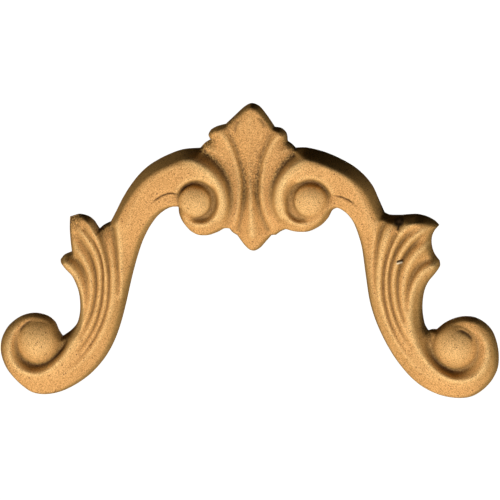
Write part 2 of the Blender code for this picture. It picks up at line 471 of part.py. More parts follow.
def heights(points, distance, skin):
    """Height of the front over the back at each point of the plan."""
    wall = LAND + np.clip(distance, 0.0, None) / math.tan(DRAFT)
    front = soft_min(carved(points, skin), wall, 2 * SHOULDER_ROUND)
    return np.maximum(front, LAND / 2)


def front_points(loop):
    """Plan points of the front inside the outline: rings down the wall, the lines, then an even field."""
    ahead = np.roll(loop, -1, axis=0)[:, :2] - np.roll(loop, 1, axis=0)[:, :2]
    ahead /= np.linalg.norm(ahead, axis=1)[:, None]
    inward = np.column_stack([ahead[:, 1], -ahead[:, 0]])
    wall_run = RELIEF * USUAL_WALL * math.tan(DRAFT)
    chosen = []
    for share in WALL_RINGS:
        ring = loop[:, :2] + inward * wall_run * share
        folded_back = edge_distance(ring, loop) < wall_run * share - EDGE_SAG
        chosen.append(ring[~folded_back])
    lines = [curve(plan(line), LINE_STEP)[:, :2] for group in LINE_GROUPS for line in group.values()]
    chosen.append(np.vstack(lines))
    low = loop[:, :2].min(axis=0)
    high = loop[:, :2].max(axis=0)
    row_step = FIELD_STEP * math.sqrt(3) / 2
    for row, up in enumerate(np.arange(low[1], high[1], row_step)):
        start = low[0] + (row % 2) * FIELD_STEP / 2
        across = np.arange(start, high[0], FIELD_STEP)
        chosen.append(np.column_stack([across, np.full(len(across), up)]))
    return spread(np.vstack(chosen), loop, CLEAR_OF_POINTS * FIELD_STEP, CLEAR_OF_EDGE * wall_run)


def spread(points, loop, gap, margin):
    """The points that lie inside the outline by the margin and clear of the points before them."""
    points = points[edge_distance(points, loop) > margin]
    tree = KDTree(len(points))
    for index, point in enumerate(points):
        tree.insert((point[0], point[1], 0.0), index)
    tree.balance()
    kept = np.ones(len(points), dtype=bool)
    for index, point in enumerate(points):
        if kept[index]:
            for _, other, _ in tree.find_range((point[0], point[1], 0.0), gap):
                if other > index:
                    kept[other] = False
    return points[kept]


def onlay_mesh():
    """The closed body: carved front, square edge and flat back."""
    loop = outline(EDGE_STEP)
    points = np.vstack([loop[:, :2], front_points(loop)])
    count = len(loop)
    rim = [(i, (i + 1) % count) for i in range(count)]
    flat, _, faces, *_ = delaunay_2d_cdt([Vector(p) for p in points.tolist()], rim, [], 1, 1e-7)
    flat = np.array([tuple(v) for v in flat])
    lift = heights(flat, edge_distance(flat, loop), Skin(CELL))
    lift[:count] = LAND
    front = bpy.data.meshes.new("front")
    vertices = np.column_stack([flat[:, 0], -lift, flat[:, 1]])
    front.from_pydata(vertices.tolist(), [], [list(face) for face in faces])
    return front


def thinned(mesh):
    """The mesh with fewer triangles where the form is plain."""
    carrier = bpy.data.objects.new("front", mesh)
    bpy.context.collection.objects.link(carrier)
    thin = carrier.modifiers.new("thin", "DECIMATE")
    thin.ratio = FACE_SHARE
    evaluated = carrier.evaluated_get(bpy.context.evaluated_depsgraph_get())
    result = bpy.data.meshes.new_from_object(evaluated)
    bpy.data.objects.remove(carrier)
    return result


def close_back(mesh):
    """Draws the front's edge back to the plane y = 0 and closes it with a flat face."""
    body = bmesh.new()
    body.from_mesh(mesh)
    rim = [edge for edge in body.edges if edge.is_boundary]
    drawn = bmesh.ops.extrude_edge_only(body, edges=rim)["geom"]
    for vertex in drawn:
        if isinstance(vertex, bmesh.types.BMVert):
            vertex.co.y = 0.0
    back = [edge for edge in drawn if isinstance(edge, bmesh.types.BMEdge) and edge.is_boundary]
    bmesh.ops.triangle_fill(body, edges=back, use_beauty=True)
    bmesh.ops.recalc_face_normals(body, faces=body.faces)
    body.to_mesh(mesh)
    body.free()
    return mesh


def composite():
    """Wood composite: fine wood flour and resin, pressed and unpainted."""
    material = bpy.data.materials.new("moulded wood composite")
    material.use_nodes = True
    surface = material.node_tree.nodes["Principled BSDF"]
    surface.inputs["Base Color"].default_value = (0.62, 0.34, 0.12, 1.0)
    surface.inputs["Roughness"].default_value = 0.85
    surface.inputs["Metallic"].default_value = 0.0
    return material


def build():
    for leftover in list(bpy.data.objects):
        bpy.data.objects.remove(leftover)
    mesh = close_back(thinned(onlay_mesh()))
    mesh.name = "frieze_onlay"
    mesh.materials.append(composite())
    onlay = bpy.data.objects.new("frieze_onlay", mesh)
    bpy.context.collection.objects.link(onlay)
    print("triangles", sum(len(polygon.vertices) - 2 for polygon in mesh.polygons))


build()
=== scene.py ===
import math

import bpy
import numpy as np
from mathutils import Matrix, Vector, noise
from mathutils.geometry import delaunay_2d_cdt
from mathutils.kdtree import KDTree


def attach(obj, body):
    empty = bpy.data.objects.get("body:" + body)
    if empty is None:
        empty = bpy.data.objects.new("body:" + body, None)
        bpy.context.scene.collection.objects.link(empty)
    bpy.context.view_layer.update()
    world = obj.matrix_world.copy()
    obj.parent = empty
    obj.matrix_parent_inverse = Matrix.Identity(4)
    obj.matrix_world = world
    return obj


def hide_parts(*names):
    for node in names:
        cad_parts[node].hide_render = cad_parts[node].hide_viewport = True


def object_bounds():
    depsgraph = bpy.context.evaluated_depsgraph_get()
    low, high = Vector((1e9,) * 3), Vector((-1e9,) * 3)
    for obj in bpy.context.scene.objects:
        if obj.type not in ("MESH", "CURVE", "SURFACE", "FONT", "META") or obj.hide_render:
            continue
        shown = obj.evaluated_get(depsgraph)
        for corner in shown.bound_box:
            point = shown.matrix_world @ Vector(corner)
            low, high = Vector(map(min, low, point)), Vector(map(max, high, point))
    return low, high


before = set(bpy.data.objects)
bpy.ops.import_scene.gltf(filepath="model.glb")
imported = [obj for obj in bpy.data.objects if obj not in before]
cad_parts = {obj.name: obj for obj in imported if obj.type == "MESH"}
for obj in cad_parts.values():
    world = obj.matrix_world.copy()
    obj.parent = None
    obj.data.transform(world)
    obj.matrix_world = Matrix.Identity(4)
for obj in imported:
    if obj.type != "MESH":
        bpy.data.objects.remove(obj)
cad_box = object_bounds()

# Camera
# The photograph looks from a little above and from the right, and is turned slightly on its sheet.
# The view is so flat that an orthographic camera shows it. Sizes in metres, the sheet's in its own units.
LENGTH = 0.165
DRAWN_LENGTH = 500.5
CENTRE = (252.0, 203.0)
SHEET_MIDDLE = 250.0
SHEET_WIDTH = 500.0
SEEN_FROM_ABOVE = math.radians(13.0)
SEEN_FROM_RIGHT = math.radians(6.3)
SEEN_TURNED = math.radians(1.2)
UNIT = LENGTH / DRAWN_LENGTH
CAMERA_DISTANCE = 0.9
NEAREST_SEEN = 0.01
FARTHEST_SEEN = 10.0

toward_camera = Vector((
    math.sin(SEEN_FROM_RIGHT) * math.cos(SEEN_FROM_ABOVE),
    -math.cos(SEEN_FROM_RIGHT) * math.cos(SEEN_FROM_ABOVE),
    math.sin(SEEN_FROM_ABOVE),
))
level = Vector((math.cos(SEEN_FROM_RIGHT), math.sin(SEEN_FROM_RIGHT), 0.0))
upright = toward_camera.cross(level)
picture_right = level * math.cos(SEEN_TURNED) - upright * math.sin(SEEN_TURNED)
picture_up = upright * math.cos(SEEN_TURNED) + level * math.sin(SEEN_TURNED)
picture_middle = (
    picture_right * (SHEET_MIDDLE - CENTRE[0]) * UNIT + picture_up * (CENTRE[1] - SHEET_MIDDLE) * UNIT
)

camera_data = bpy.data.cameras.new("camera")
camera_data.type = "ORTHO"
camera_data.ortho_scale = SHEET_WIDTH * UNIT
camera_data.clip_start = NEAREST_SEEN
camera_data.clip_end = FARTHEST_SEEN
camera = bpy.data.objects.new("camera", camera_data)
camera.matrix_world = Matrix.Translation(picture_middle + toward_camera * CAMERA_DISTANCE) @ Matrix(
    (picture_right, picture_up, toward_camera)
).transposed().to_4x4()
bpy.context.scene.collection.objects.link(camera)
bpy.context.scene.camera = camera

# Light and surroundings
# A soft lamp in front and below, so that the walls that face up fall dark, two weaker ones at the sides,
# one behind for the flat back, and a faint warm fill. The room is pale, and the backdrop is a white board
# far behind. Both glow for the camera only.
LAMP_DISTANCE = 0.9
BOARD_SIZE = 6.0
BOARD_DISTANCE = 2.5

world = bpy.data.worlds.new("studio")
world.use_nodes = True
world_nodes = world.node_tree.nodes
world_links = world.node_tree.links
fill = world_nodes["Background"]
fill.inputs["Color"].default_value = (1.0, 0.85, 0.55, 1.0)
fill.inputs["Strength"].default_value = 0.02
pale_wall = world_nodes.new("ShaderNodeBackground")
pale_wall.inputs["Color"].default_value = (0.86, 0.85, 0.83, 1.0)
ray = world_nodes.new("ShaderNodeLightPath")
seen = world_nodes.new("ShaderNodeMixShader")
world_links.new(ray.outputs["Is Camera Ray"], seen.inputs["Fac"])
world_links.new(fill.outputs["Background"], seen.inputs[1])
world_links.new(pale_wall.outputs["Background"], seen.inputs[2])
world_links.new(seen.outputs["Shader"], world_nodes["World Output"].inputs["Surface"])
bpy.context.scene.world = world


def lamp(name, to_right, below, size, watts, colour):
    """A square lamp that looks at the piece's middle, placed by its degrees to the right and below."""
    side = math.radians(to_right)
    drop = math.radians(below)
    place = Vector((
        math.sin(side) * math.cos(drop),
        -math.cos(side) * math.cos(drop),
        -math.sin(drop),
    )) * LAMP_DISTANCE
    data = bpy.data.lights.new(name, "AREA")
    data.shape = "SQUARE"
    data.size = size
    data.energy = watts
    data.color = colour
    made = bpy.data.objects.new(name, data)
    made.location = place
    made.rotation_euler = place.to_track_quat("Z", "Y").to_euler()
    made.visible_camera = False
    bpy.context.scene.collection.objects.link(made)


lamp("key lamp", 4.0, 20.0, 0.18, 7.5, (1.0, 0.98, 0.93))
lamp("left lamp", -62.0, 4.0, 0.3, 3.6, (1.0, 0.93, 0.8))
lamp("right lamp", 66.0, 24.0, 0.3, 2.2, (1.0, 0.93, 0.8))
lamp("back lamp", 180.0, 0.0, 0.25, 7.0, (1.0, 0.97, 0.92))

bpy.ops.object.select_all(action="DESELECT")
bpy.ops.mesh.primitive_plane_add(
    size=BOARD_SIZE, location=(0.0, BOARD_DISTANCE, 0.0), rotation=(math.radians(90), 0.0, 0.0)
)
backdrop = bpy.context.object
backdrop.name = "backdrop"
backdrop.visible_diffuse = False
backdrop.visible_glossy = False
board = bpy.data.materials.new("white board")
board.use_nodes = True
board_surface = board.node_tree.nodes["Principled BSDF"]
board_surface.inputs["Base Color"].default_value = (0.9, 0.9, 0.9, 1.0)
board_surface.inputs["Roughness"].default_value = 1.0
board_surface.inputs["Emission Color"].default_value = (1.0, 1.0, 1.0, 1.0)
board_surface.inputs["Emission Strength"].default_value = 1.0
backdrop.data.materials.append(board)

# The onlay
# One piece of moulded wood composite: an arch of two S scrolls, leaves and a palmette in relief, with
# drafted walls and a flat back. The sizes and the drawing repeat the CAD part's, on a finer mesh.
RELIEF = 0.012  # full depth, back to the crown of the highest boss
LAND = 0.0012  # square edge above the back
DRAFT = math.radians(12.5)  # lean of the side walls
SHOULDER_ROUND = 0.0008  # softness of the edge between wall and front
LINE_SOFTNESS = 0.00032  # softness of ridges and grooves
CROWN = 20.0  # how far the skin swells between its lines, per metre
COARSEST = 8  # cells of the coarsest grid, in fine cells
SKIN_MARGIN = 4  # cells left round the outline
STIFFNESS = 3.0  # how firmly the lines hold the skin
SWEEPS = 240
STEP_SHARE = 1.7  # how far each step goes, as a share of the way to its goal

# Outline of the back, clockwise from the foot of the palmette. Each stretch is one smooth curve from
# corner to corner. The third number is the height of the front where it meets the side wall, as a
# share of the relief.
OUTLINE = [
    [(200.4, 147.5, 0.14), (205, 142.5, 0.13), (210.9, 138.8, 0.14)],
    [(210.9, 138.8, 0.18), (208.8, 134, 0.24), (211, 129.5, 0.28), (217, 126, 0.36),
     (226, 123.5, 0.38)],
    [(226, 123.5, 0.22), (235, 115, 0.22), (244.5, 106.3, 0.28), (251.7, 102.9, 0.35),
     (259.5, 105.8, 0.36), (267.2, 115, 0.33), (275, 126.5, 0.3)],
    [(275, 126.5, 0.36), (282, 128, 0.37), (286.8, 133, 0.31), (288, 140.8, 0.22)],
    [(288, 140.8, 0.2), (292, 143.5, 0.24), (295.8, 147.4, 0.24)],
    [(295.8, 147.4, 0.28), (306, 147.2, 0.58), (321.7, 150.7, 0.67), (337.7, 157, 0.67),
     (353.6, 165.8, 0.67), (364.8, 175.4, 0.66), (373, 186, 0.65), (378.5, 198, 0.62),
     (384.7, 212, 0.58)],
    [(384.7, 212, 0.6), (389.5, 214.3, 0.6), (400, 214.6, 0.6), (417, 213.7, 0.58),
     (427, 216, 0.5), (435, 220.3, 0.36), (439.3, 224.6, 0.24)],
    [(439.3, 224.6, 0.24), (434.8, 230, 0.3), (432, 237, 0.34), (432, 245, 0.34),
     (434.5, 253, 0.32), (439.8, 260.5, 0.3)],
    [(439.8, 260.5, 0.36), (440.2, 265.5, 0.38), (435.8, 272.3, 0.38), (429, 280.6, 0.34),
     (425, 289, 0.3), (422.9, 300, 0.28), (422.8, 312, 0.27), (425, 324, 0.24), (428.4, 330, 0.18)],
    [(428.4, 330, 0.16), (432.5, 328.8, 0.13), (436.8, 328.9, 0.2)],
    [(436.8, 328.9, 0.26), (445, 322.4, 0.36), (455, 317.8, 0.38), (465.5, 315.9, 0.38),
     (476, 317.4, 0.36), (485.4, 322.8, 0.33), (492.3, 330.5, 0.3), (496.6, 341, 0.28),
     (498.8, 354, 0.3), (497.8, 368, 0.36), (492, 379.8, 0.46), (482, 390, 0.55), (471, 395.9, 0.6),
     (458, 397.2, 0.61), (441.2, 394.2, 0.59), (424, 386.3, 0.57), (410.4, 375.5, 0.55),
     (397, 359.4, 0.53), (386.3, 342, 0.49), (376.9, 321.9, 0.45), (370.2, 300.5, 0.43),
     (366.2, 275, 0.43), (362.3, 247, 0.48), (358.1, 232.1, 0.55), (353.2, 220.5, 0.6),
     (346, 211.6, 0.63), (338.5, 207, 0.64), (333, 209.2, 0.66), (329, 216.5, 0.68),
     (321.5, 224.4, 0.66), (309, 230.6, 0.66), (297, 230.8, 0.64), (286.2, 228.3, 0.5)],
    [(286.2, 228.3, 0.4), (281, 230.6, 0.38), (276.4, 234, 0.36)],
    [(276.4, 234, 0.36), (272, 234.3, 0.36)],
    [(272, 234.3, 0.36), (266.6, 240.3, 0.4), (260.8, 246.7, 0.42), (255, 249.8, 0.42),
     (250, 248.8, 0.42), (244.6, 243.8, 0.4), (237.6, 234.3, 0.36)],
    [(237.6, 234.3, 0.36), (232.8, 231.3, 0.36), (229.7, 227.6, 0.4)],
    [(229.7, 227.6, 0.5), (224.8, 227.6, 0.62), (218, 231.2, 0.66), (208.5, 234.3, 0.67),
     (199.5, 234, 0.67), (190.3, 229.3, 0.67), (183, 220.8, 0.67), (179.6, 213, 0.67),
     (178.8, 205.8, 0.64)],
    [(178.8, 205.8, 0.64), (172, 206.2, 0.64), (165.3, 209.2, 0.64), (157.8, 215.4, 0.63),
     (149.9, 226.4, 0.58), (143.5, 239.2, 0.52), (139.3, 250.9, 0.46), (135.3, 264.5, 0.43),
     (131.3, 280.4, 0.43), (125.9, 304.5, 0.46), (120.5, 324.6, 0.5), (113.9, 342, 0.54),
     (104.5, 358, 0.56), (91.1, 372.8, 0.58), (76, 383.6, 0.6), (60.3, 390.9, 0.62),
     (44.5, 393.4, 0.64), (31.5, 390.5, 0.66), (17.5, 380, 0.68), (6.7, 366.8, 0.68),
     (1.3, 351.5, 0.52), (2.1, 338, 0.38), (8, 326.3, 0.26), (17, 318.2, 0.2), (26.5, 313.8, 0.2),
     (37, 312.6, 0.24), (48, 315.4, 0.26), (55.5, 321.5, 0.28), (59.2, 329.5, 0.28),
     (63, 335.5, 0.27)],
    [(63, 335.5, 0.3), (71, 330, 0.42), (77, 323.2, 0.5), (79.9, 313.8, 0.54), (80.5, 303, 0.56),
     (79.2, 291.5, 0.57), (76.3, 283, 0.57), (72.2, 275, 0.56), (65.6, 268, 0.54),
     (61.4, 262.3, 0.5), (60.9, 258.7, 0.46)],
    [(60.9, 258.7, 0.42), (64.5, 254.4, 0.34), (72.3, 250.9, 0.3)],
    [(72.3, 250.9, 0.32), (71, 240.2, 0.3), (70.1, 228, 0.24), (70.3, 216.2, 0.13)],
    [(70.3, 216.2, 0.1), (79.5, 213.6, 0.12), (86.5, 214.9, 0.34), (91, 217, 0.5),
     (94.8, 220.5, 0.58), (99.8, 228.1, 0.5)],
    [(99.8, 228.1, 0.3), (104.5, 224.2, 0.12), (111, 221, 0.3)],
    [(111, 221, 0.46), (116.4, 210.5, 0.62), (122.8, 197.7, 0.66), (130.7, 185, 0.66),
     (140.3, 173, 0.67), (151.5, 163.4, 0.67), (167.4, 154.7, 0.67), (183.4, 149, 0.62),
     (200.4, 147.5, 0.22)],
]

# Ridges and grooves that the front's skin is stretched over: x, y and the height as a share of the
# relief. Between them the skin runs as straight and even as it can.
ARM_LINES = {
    "left arm crest": [(196, 168.5, 0.85), (185, 167, 0.85), (173, 168, 0.85), (159, 174, 0.84),
                       (147, 184, 0.83), (137.5, 198, 0.82), (131, 212, 0.8), (127, 228, 0.77)],
    "left shoulder": [(183, 160.5, 0.8), (193, 162, 0.81), (202.5, 166, 0.82), (210.5, 171.5, 0.82),
                      (217, 178.8, 0.82), (221.8, 187, 0.82), (224.4, 196, 0.82),
                      (225, 205, 0.81), (223, 214, 0.8), (218, 222, 0.77)],
    "left arm lower edge": [(176, 203, 0.76), (166, 205, 0.77), (157, 211.5, 0.77),
                            (149, 222, 0.74), (142, 236, 0.67)],
    "left band edge": [(116.5, 222.5, 0.73), (118.3, 240, 0.71), (119.8, 258, 0.69),
                       (120.8, 280, 0.68), (120.4, 298, 0.69)],
    "right arm crest": [(302, 168.5, 0.86), (313, 166.5, 0.86), (326, 168, 0.86), (341, 174.5, 0.85),
                        (353, 185, 0.84), (361.5, 199, 0.82), (367.5, 213, 0.8), (371, 228, 0.77)],
    "right shoulder": [(318, 160.5, 0.81), (309, 160.8, 0.82), (300, 163, 0.82), (292, 167.3, 0.82),
                       (285.3, 173.3, 0.82), (280, 181, 0.82), (276.8, 190, 0.82),
                       (275.8, 199, 0.81), (277.3, 209, 0.8), (281, 218, 0.77)],
    "right arm lower edge": [(339, 203.5, 0.77), (345, 208, 0.77), (351, 218, 0.75),
                             (356.5, 231, 0.69)],
    "right band edge": [(376.5, 222, 0.75), (375, 238, 0.72), (373, 256, 0.7), (372.5, 276, 0.69),
                        (374, 296, 0.7)],
}
CENTRE_VOLUTE_LINES = {
    "left rim": [(196, 168.5, 0.85), (205, 172.5, 0.86), (212.5, 179.5, 0.86), (218, 189, 0.86),
                 (220.5, 200, 0.86), (218.5, 211.5, 0.85), (212, 220.5, 0.84),
                 (202, 225, 0.84), (191, 223, 0.83), (184, 215, 0.82)],
    "left groove edge": [(176.5, 193, 0.83), (181, 186, 0.83), (187.5, 181, 0.84),
                         (196, 179, 0.84), (204.5, 180.8, 0.83), (211, 185.5, 0.81)],
    "left spiral groove": [(179.5, 194, 0.62), (185, 187, 0.5), (194, 182.3, 0.42),
                           (204, 184, 0.44), (212, 190.5, 0.52), (215.3, 200.5, 0.56),
                           (213.5, 211, 0.57), (205.5, 218.5, 0.57), (197, 219.3, 0.62),
                           (190, 217.5, 0.78)],
    "left rim edge": [(220, 206, 0.84), (216.5, 215.5, 0.84), (210, 221.6, 0.83),
                      (203, 223.8, 0.82), (196, 222.8, 0.82)],
    "right rim": [(302, 168.5, 0.86), (293.5, 173, 0.86), (286.3, 180, 0.86), (281.8, 189, 0.86),
                  (280.5, 200, 0.86), (283, 211, 0.85), (290, 219.5, 0.84), (301, 224, 0.84),
                  (313, 222.5, 0.83), (323, 216, 0.82), (328.5, 208, 0.8)],
    "right groove edge": [(332.5, 194, 0.83), (328, 187, 0.83), (321.5, 181, 0.84),
                          (313, 178, 0.84), (304.5, 178.8, 0.83), (297.5, 182.3, 0.81)],
    "right spiral groove": [(329.5, 195, 0.62), (324.5, 187.5, 0.5), (315.5, 181.8, 0.42),
                            (305.5, 182.3, 0.43), (296, 187, 0.47), (289.8, 195, 0.53),
                            (287.2, 205, 0.55), (289.3, 213.5, 0.55), (296.3, 219.3, 0.56),
                            (303, 219.8, 0.63), (309, 218, 0.79)],
    "right rim edge": [(283.5, 203, 0.84), (285.5, 213, 0.84), (290.5, 219.5, 0.83),
                       (297, 223, 0.82), (304, 222.8, 0.82)],
}
PALMETTE_LINES = {
    "top border": [(231, 132, 0.35), (233.5, 123.5, 0.31), (240, 116, 0.35),
                   (250, 111.5, 0.41), (259.5, 114.5, 0.41), (266, 121.5, 0.38),
                   (269.5, 132, 0.37)],
    "field left": [(240.5, 122, 0.42), (239.5, 132, 0.42), (240.5, 144, 0.39),
                   (243, 156, 0.34), (246, 168, 0.29)],
    "field right": [(260, 122, 0.43), (261, 132, 0.42), (260, 144, 0.39), (257.5, 156, 0.34),
                    (255, 168, 0.29)],
    "middle": [(249.5, 118, 0.46), (249.5, 130, 0.46), (249.5, 143, 0.43), (249.5, 156, 0.37),
               (250, 168, 0.32), (250, 178, 0.31), (250.2, 188, 0.36), (250.4, 197, 0.46),
               (250.8, 207, 0.55), (251.2, 218, 0.62), (251.5, 228, 0.64), (252, 237, 0.6)],
    "left valley": [(227.5, 128, 0.3), (231.5, 138, 0.3), (235.5, 148, 0.28), (239, 158, 0.25),
                    (242, 170, 0.21), (244, 183, 0.19), (244, 196, 0.24), (242.2, 209, 0.35),
                    (240, 220.5, 0.38), (239, 230, 0.34)],
    "right valley": [(272.5, 131.5, 0.3), (268.8, 140, 0.29), (264.8, 149.5, 0.27),
                     (261.5, 159, 0.24), (259.3, 170, 0.21), (257.3, 183, 0.19),
                     (257.3, 196, 0.24), (259.8, 209, 0.35), (263.8, 220.5, 0.38),
                     (268.5, 230, 0.34)],
    "left upper lobe": [(213, 134, 0.34), (219, 133.8, 0.41), (224.5, 137, 0.44), (229, 144.5, 0.44),
                        (232.8, 153, 0.43), (236, 162, 0.41), (238.5, 172, 0.39),
                        (239.8, 183, 0.39), (239.2, 196, 0.45), (238.2, 208, 0.51),
                        (236.3, 219, 0.52), (233.5, 228, 0.47)],
    "right upper lobe": [(285.5, 136.5, 0.36), (280, 136, 0.42), (275.3, 139.3, 0.45),
                         (271, 145.5, 0.45), (267.3, 153.5, 0.43), (264.5, 162, 0.41),
                         (262.8, 172, 0.39), (261.3, 183, 0.39), (261.6, 196, 0.45),
                         (264.2, 209, 0.51), (268.3, 220.5, 0.52), (273.5, 229, 0.47)],
    "left lobe valley": [(211.5, 141, 0.2), (216, 143.5, 0.33), (222, 149.5, 0.41)],
    "right lobe valley": [(287, 142.5, 0.24), (282.5, 145.5, 0.34), (277.5, 151, 0.41)],
    "left lower lobe": [(203.5, 147, 0.18), (211, 149.3, 0.35), (219, 154.5, 0.4),
                        (226, 162.5, 0.4), (231.5, 172.5, 0.38), (234.8, 184, 0.38)],
    "right lower lobe": [(293.5, 148.5, 0.24), (287, 150, 0.36), (280, 155, 0.4),
                         (273.7, 163, 0.4), (268.8, 173, 0.38), (266.2, 184, 0.38)],
    "left hollow": [(203.5, 153, 0.22), (212, 158.8, 0.24), (219.8, 167, 0.25), (226, 177, 0.28),
                    (229.5, 188.5, 0.34), (231, 202, 0.43), (230, 213, 0.5), (228.5, 223, 0.52)],
    "right hollow": [(295.5, 153.5, 0.22), (288.3, 160, 0.24), (281.3, 168.3, 0.25),
                     (275.7, 178, 0.28), (272.3, 189, 0.34), (271, 202, 0.43),
                     (274, 213, 0.5), (280, 223, 0.52)],
}
LEFT_LEAF_LINES = {
    "inner flute": [(105, 227.5, 0.26), (106.8, 236, 0.37), (109, 246, 0.49), (110.8, 258, 0.6),
                    (112, 272, 0.7), (112, 291, 0.76), (109.5, 310, 0.79), (103.5, 328, 0.8),
                    (95, 345, 0.8), (83, 360, 0.8), (68, 371.5, 0.81), (52, 379, 0.81)],
    "inner flute edge": [(107.8, 228, 0.29), (111, 237.5, 0.39), (113.3, 247.5, 0.49),
                         (114.7, 259.5, 0.58), (115.6, 274, 0.67), (115.2, 292, 0.72),
                         (111, 315, 0.74), (104.5, 335, 0.73), (95, 352.5, 0.73)],
    "leaf crease": [(112, 226, 0.29), (114.9, 242, 0.37), (116.7, 258, 0.46), (117.8, 276, 0.54),
                    (117.9, 293, 0.62)],
    "inner groove": [(99.2, 233, 0.25), (101.5, 241, 0.33), (105, 252, 0.43), (108, 265, 0.53),
                     (109.3, 280, 0.61), (108, 303, 0.67), (102, 323, 0.68), (93.5, 340, 0.7),
                     (82, 355.5, 0.74), (75, 362.7, 0.765), (66, 369.3, 0.785)],
    "third flute": [(76, 217, 0.16), (82, 219, 0.32), (87.5, 222.3, 0.5),
                    (92.8, 229.5, 0.58), (97.5, 239, 0.62), (101.2, 250, 0.66),
                    (104.2, 264, 0.71), (105.6, 280, 0.75), (104.5, 304, 0.78),
                    (98.5, 325, 0.79), (90, 342.5, 0.795), (78, 357, 0.8), (64, 368, 0.81)],
    "third groove": [(84, 227, 0.34), (89.3, 235, 0.44), (93.3, 241, 0.47), (97, 247.5, 0.49),
                     (100.3, 256, 0.52), (102.7, 268, 0.56), (103, 284, 0.61), (101.3, 302, 0.65),
                     (97, 320, 0.67), (90, 335, 0.69), (79, 350.5, 0.73)],
    "second flute": [(77.5, 229.5, 0.37), (83.5, 235.2, 0.52), (89.5, 243.5, 0.61),
                     (95, 253, 0.66), (98.5, 263, 0.7), (100.3, 276, 0.735), (99.6, 293, 0.765),
                     (96.5, 309, 0.785), (91.3, 324, 0.79), (83, 339.5, 0.8),
                     (71.5, 353, 0.81), (57, 365.5, 0.82)],
    "second groove": [(76, 234, 0.3), (80.5, 239.8, 0.34), (85.2, 246, 0.39), (89.7, 253.5, 0.45),
                      (93.3, 263.5, 0.51), (95.8, 275, 0.56), (96.2, 290, 0.61), (93.5, 307, 0.65),
                      (88, 322.5, 0.69), (80, 336.5, 0.74)],
    "first flute": [(73.3, 242, 0.4), (77.5, 250.5, 0.53), (82.5, 257.5, 0.61), (86.5, 265, 0.67),
                    (89.8, 275, 0.715), (91.3, 289, 0.75), (89.3, 305, 0.77), (84.5, 321, 0.785),
                    (77.5, 335, 0.79)],
    "pocket": [(68.5, 255, 0.3), (74, 258, 0.34), (79, 262.5, 0.38), (83, 269, 0.45),
               (86, 277.5, 0.54), (87.3, 289, 0.62), (86.2, 304, 0.68), (83.5, 318, 0.73)],
    "outer lobe": [(63, 261, 0.6), (69.5, 266.5, 0.68), (75.5, 274.5, 0.72), (80, 286, 0.745),
                   (82.5, 301, 0.765), (81.5, 318, 0.78), (76.5, 333, 0.79)],
}
LEFT_VOLUTE_LINES = {
    "rim": [(76.5, 333, 0.79), (68, 349, 0.81), (57, 362, 0.83), (45, 371.5, 0.84), (33, 374, 0.84),
            (20, 369, 0.84), (11.5, 359, 0.81), (8.5, 346.5, 0.71), (11.5, 334.5, 0.54),
            (18, 326, 0.4), (25.5, 320.5, 0.32), (32.5, 318, 0.28)],
    "channel": [(67.5, 338.5, 0.37), (62.5, 348.5, 0.35), (54, 357, 0.36), (45, 362.5, 0.36),
                (34.5, 364, 0.36), (25, 360.5, 0.39), (18.5, 353.5, 0.44), (16.5, 344.5, 0.47),
                (18, 336, 0.43), (23, 329.5, 0.36), (30, 324, 0.31)],
}
